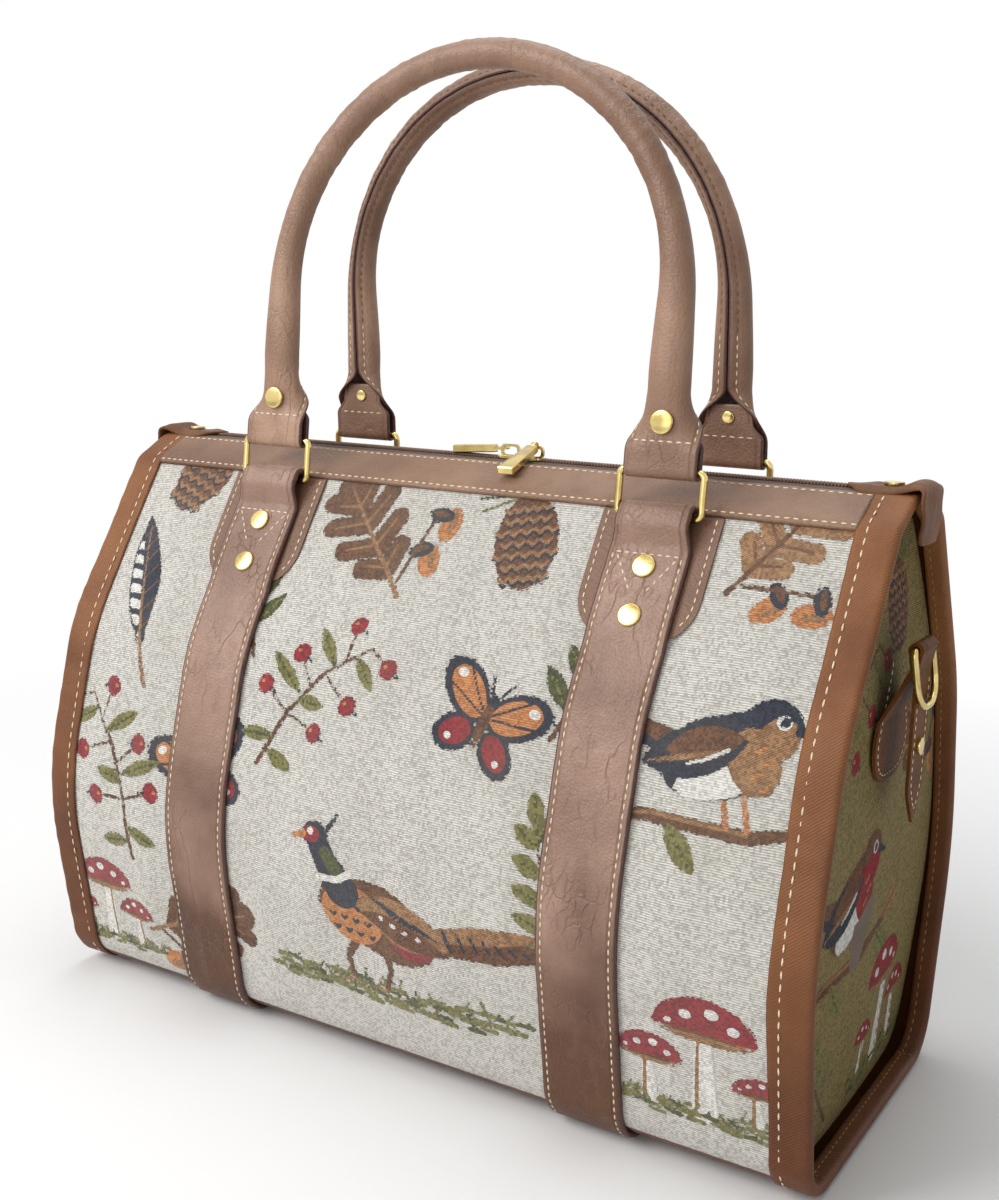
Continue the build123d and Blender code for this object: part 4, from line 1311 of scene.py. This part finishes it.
def camera_and_light():
    """The photograph's view, soft lamps, and a pale floor that keeps the bag's shadow."""
    turn, pitch, roll = CAMERA_TURN, CAMERA_PITCH, CAMERA_ROLL
    place = Vector(CAMERA_PLACE) * MM
    forward = Vector((-math.sin(turn) * math.cos(pitch), math.cos(turn) * math.cos(pitch), -math.sin(pitch)))
    right = Vector((math.cos(turn), math.sin(turn), 0))
    up = right.cross(forward)
    side = right * math.cos(roll) + up * math.sin(roll)
    top = up * math.cos(roll) - right * math.sin(roll)
    data = bpy.data.cameras.new("camera")
    data.sensor_width = 36
    data.lens = 36 * FOCAL_SHARE
    camera = bpy.data.objects.new("camera", data)
    camera.matrix_world = Matrix.Translation(place) @ Matrix((side, top, -forward)).transposed().to_4x4()
    bpy.context.scene.collection.objects.link(camera)
    bpy.context.scene.camera = camera

    for name, spot, size, power in LAMPS:
        lamp = bpy.data.lights.new(name, "AREA")
        lamp.size = size
        lamp.energy = power
        holder = bpy.data.objects.new(name, lamp)
        holder.location = spot
        holder.rotation_euler = (LAMP_AIM - Vector(spot)).to_track_quat("-Z", "Y").to_euler()
        bpy.context.scene.collection.objects.link(holder)

    world = bpy.data.worlds.new("studio")
    bpy.context.scene.world = world
    sky = Steps(world)
    rays = sky.tree.nodes.new("ShaderNodeLightPath").outputs
    seen = sky.maths("MAXIMUM", rays["Is Camera Ray"], rays["Is Glossy Ray"])
    seen = sky.maths("MAXIMUM", seen, rays["Is Transmission Ray"])
    background = sky.tree.nodes["Background"]
    background.inputs["Color"].default_value = (1, 1, 1, 1)
    sky.feed(background.inputs["Strength"], sky.spread(seen, 0.0, 1.0, SKY_LIGHT, 1.0))

    ground = bmesh.new()
    bmesh.ops.create_grid(ground, x_segments=1, y_segments=1, size=6)
    floor = bpy.data.objects.new("floor", mesh_from("floor", ground))
    bpy.context.scene.collection.objects.link(floor)
    f = Finish("floor")
    f.surface(paint(250, 250, 250), 0.9)
    distance = f.step("VectorMath", {"operation": "LENGTH"}, 1, _0=f.solid_place())
    far = f.times(f.spread(distance, 0.3, 0.9), f.step("LightPath", {}, 0))
    glow = f.step("Emission", {}, 0, _1=1.0)
    mixed = f.tree.nodes.new("ShaderNodeMixShader")
    f.feed(mixed.inputs[0], far)
    f.tree.links.new(f.shader.outputs[0], mixed.inputs[1])
    f.tree.links.new(glow, mixed.inputs[2])
    f.tree.links.new(mixed.outputs[0], f.tree.nodes["Material Output"].inputs["Surface"])
    floor.data.materials.append(f.material)
    bpy.context.scene.view_settings.view_transform = "Standard"


def fittings():
    """Finishes for the solids that show as they are."""
    for name in ("zip_end_rivets", "side_tab_studs"):
        dress(name, GOLD, 0.4)
    for side in SIDES:
        dress("d_ring_" + side, GOLD)
        dress("zip_slider_" + side, GOLD, 0.3)
        dress("zip_puller_" + side, GOLD, 0.3)
        dress("side_tab_" + side, SIDE_LEATHER, 0.5)
        # The end bands get painted shade: near-black leather
        dress("end_band_" + side, SHADED_BAND_LEATHER)
        for face in FACES:
            dress("ring_%s_%s" % (face, side), GOLD)
            dress("strap_patch_%s_%s" % (face, side), PATCH_LEATHER, 0.45)
    for face in FACES:
        dress("handle_core_" + face, BOARD)
    dress("base_panel", BASE_LEATHER)
    dress("lining", LINING)
    dress("base_board", BOARD)


camera_and_light()
panels()
end_cloths()
bindings()
straps()
patch_stitching()
zip_parts()
handles()
rivets()
zip_end_tabs()
side_tab_stitching()
fittings()
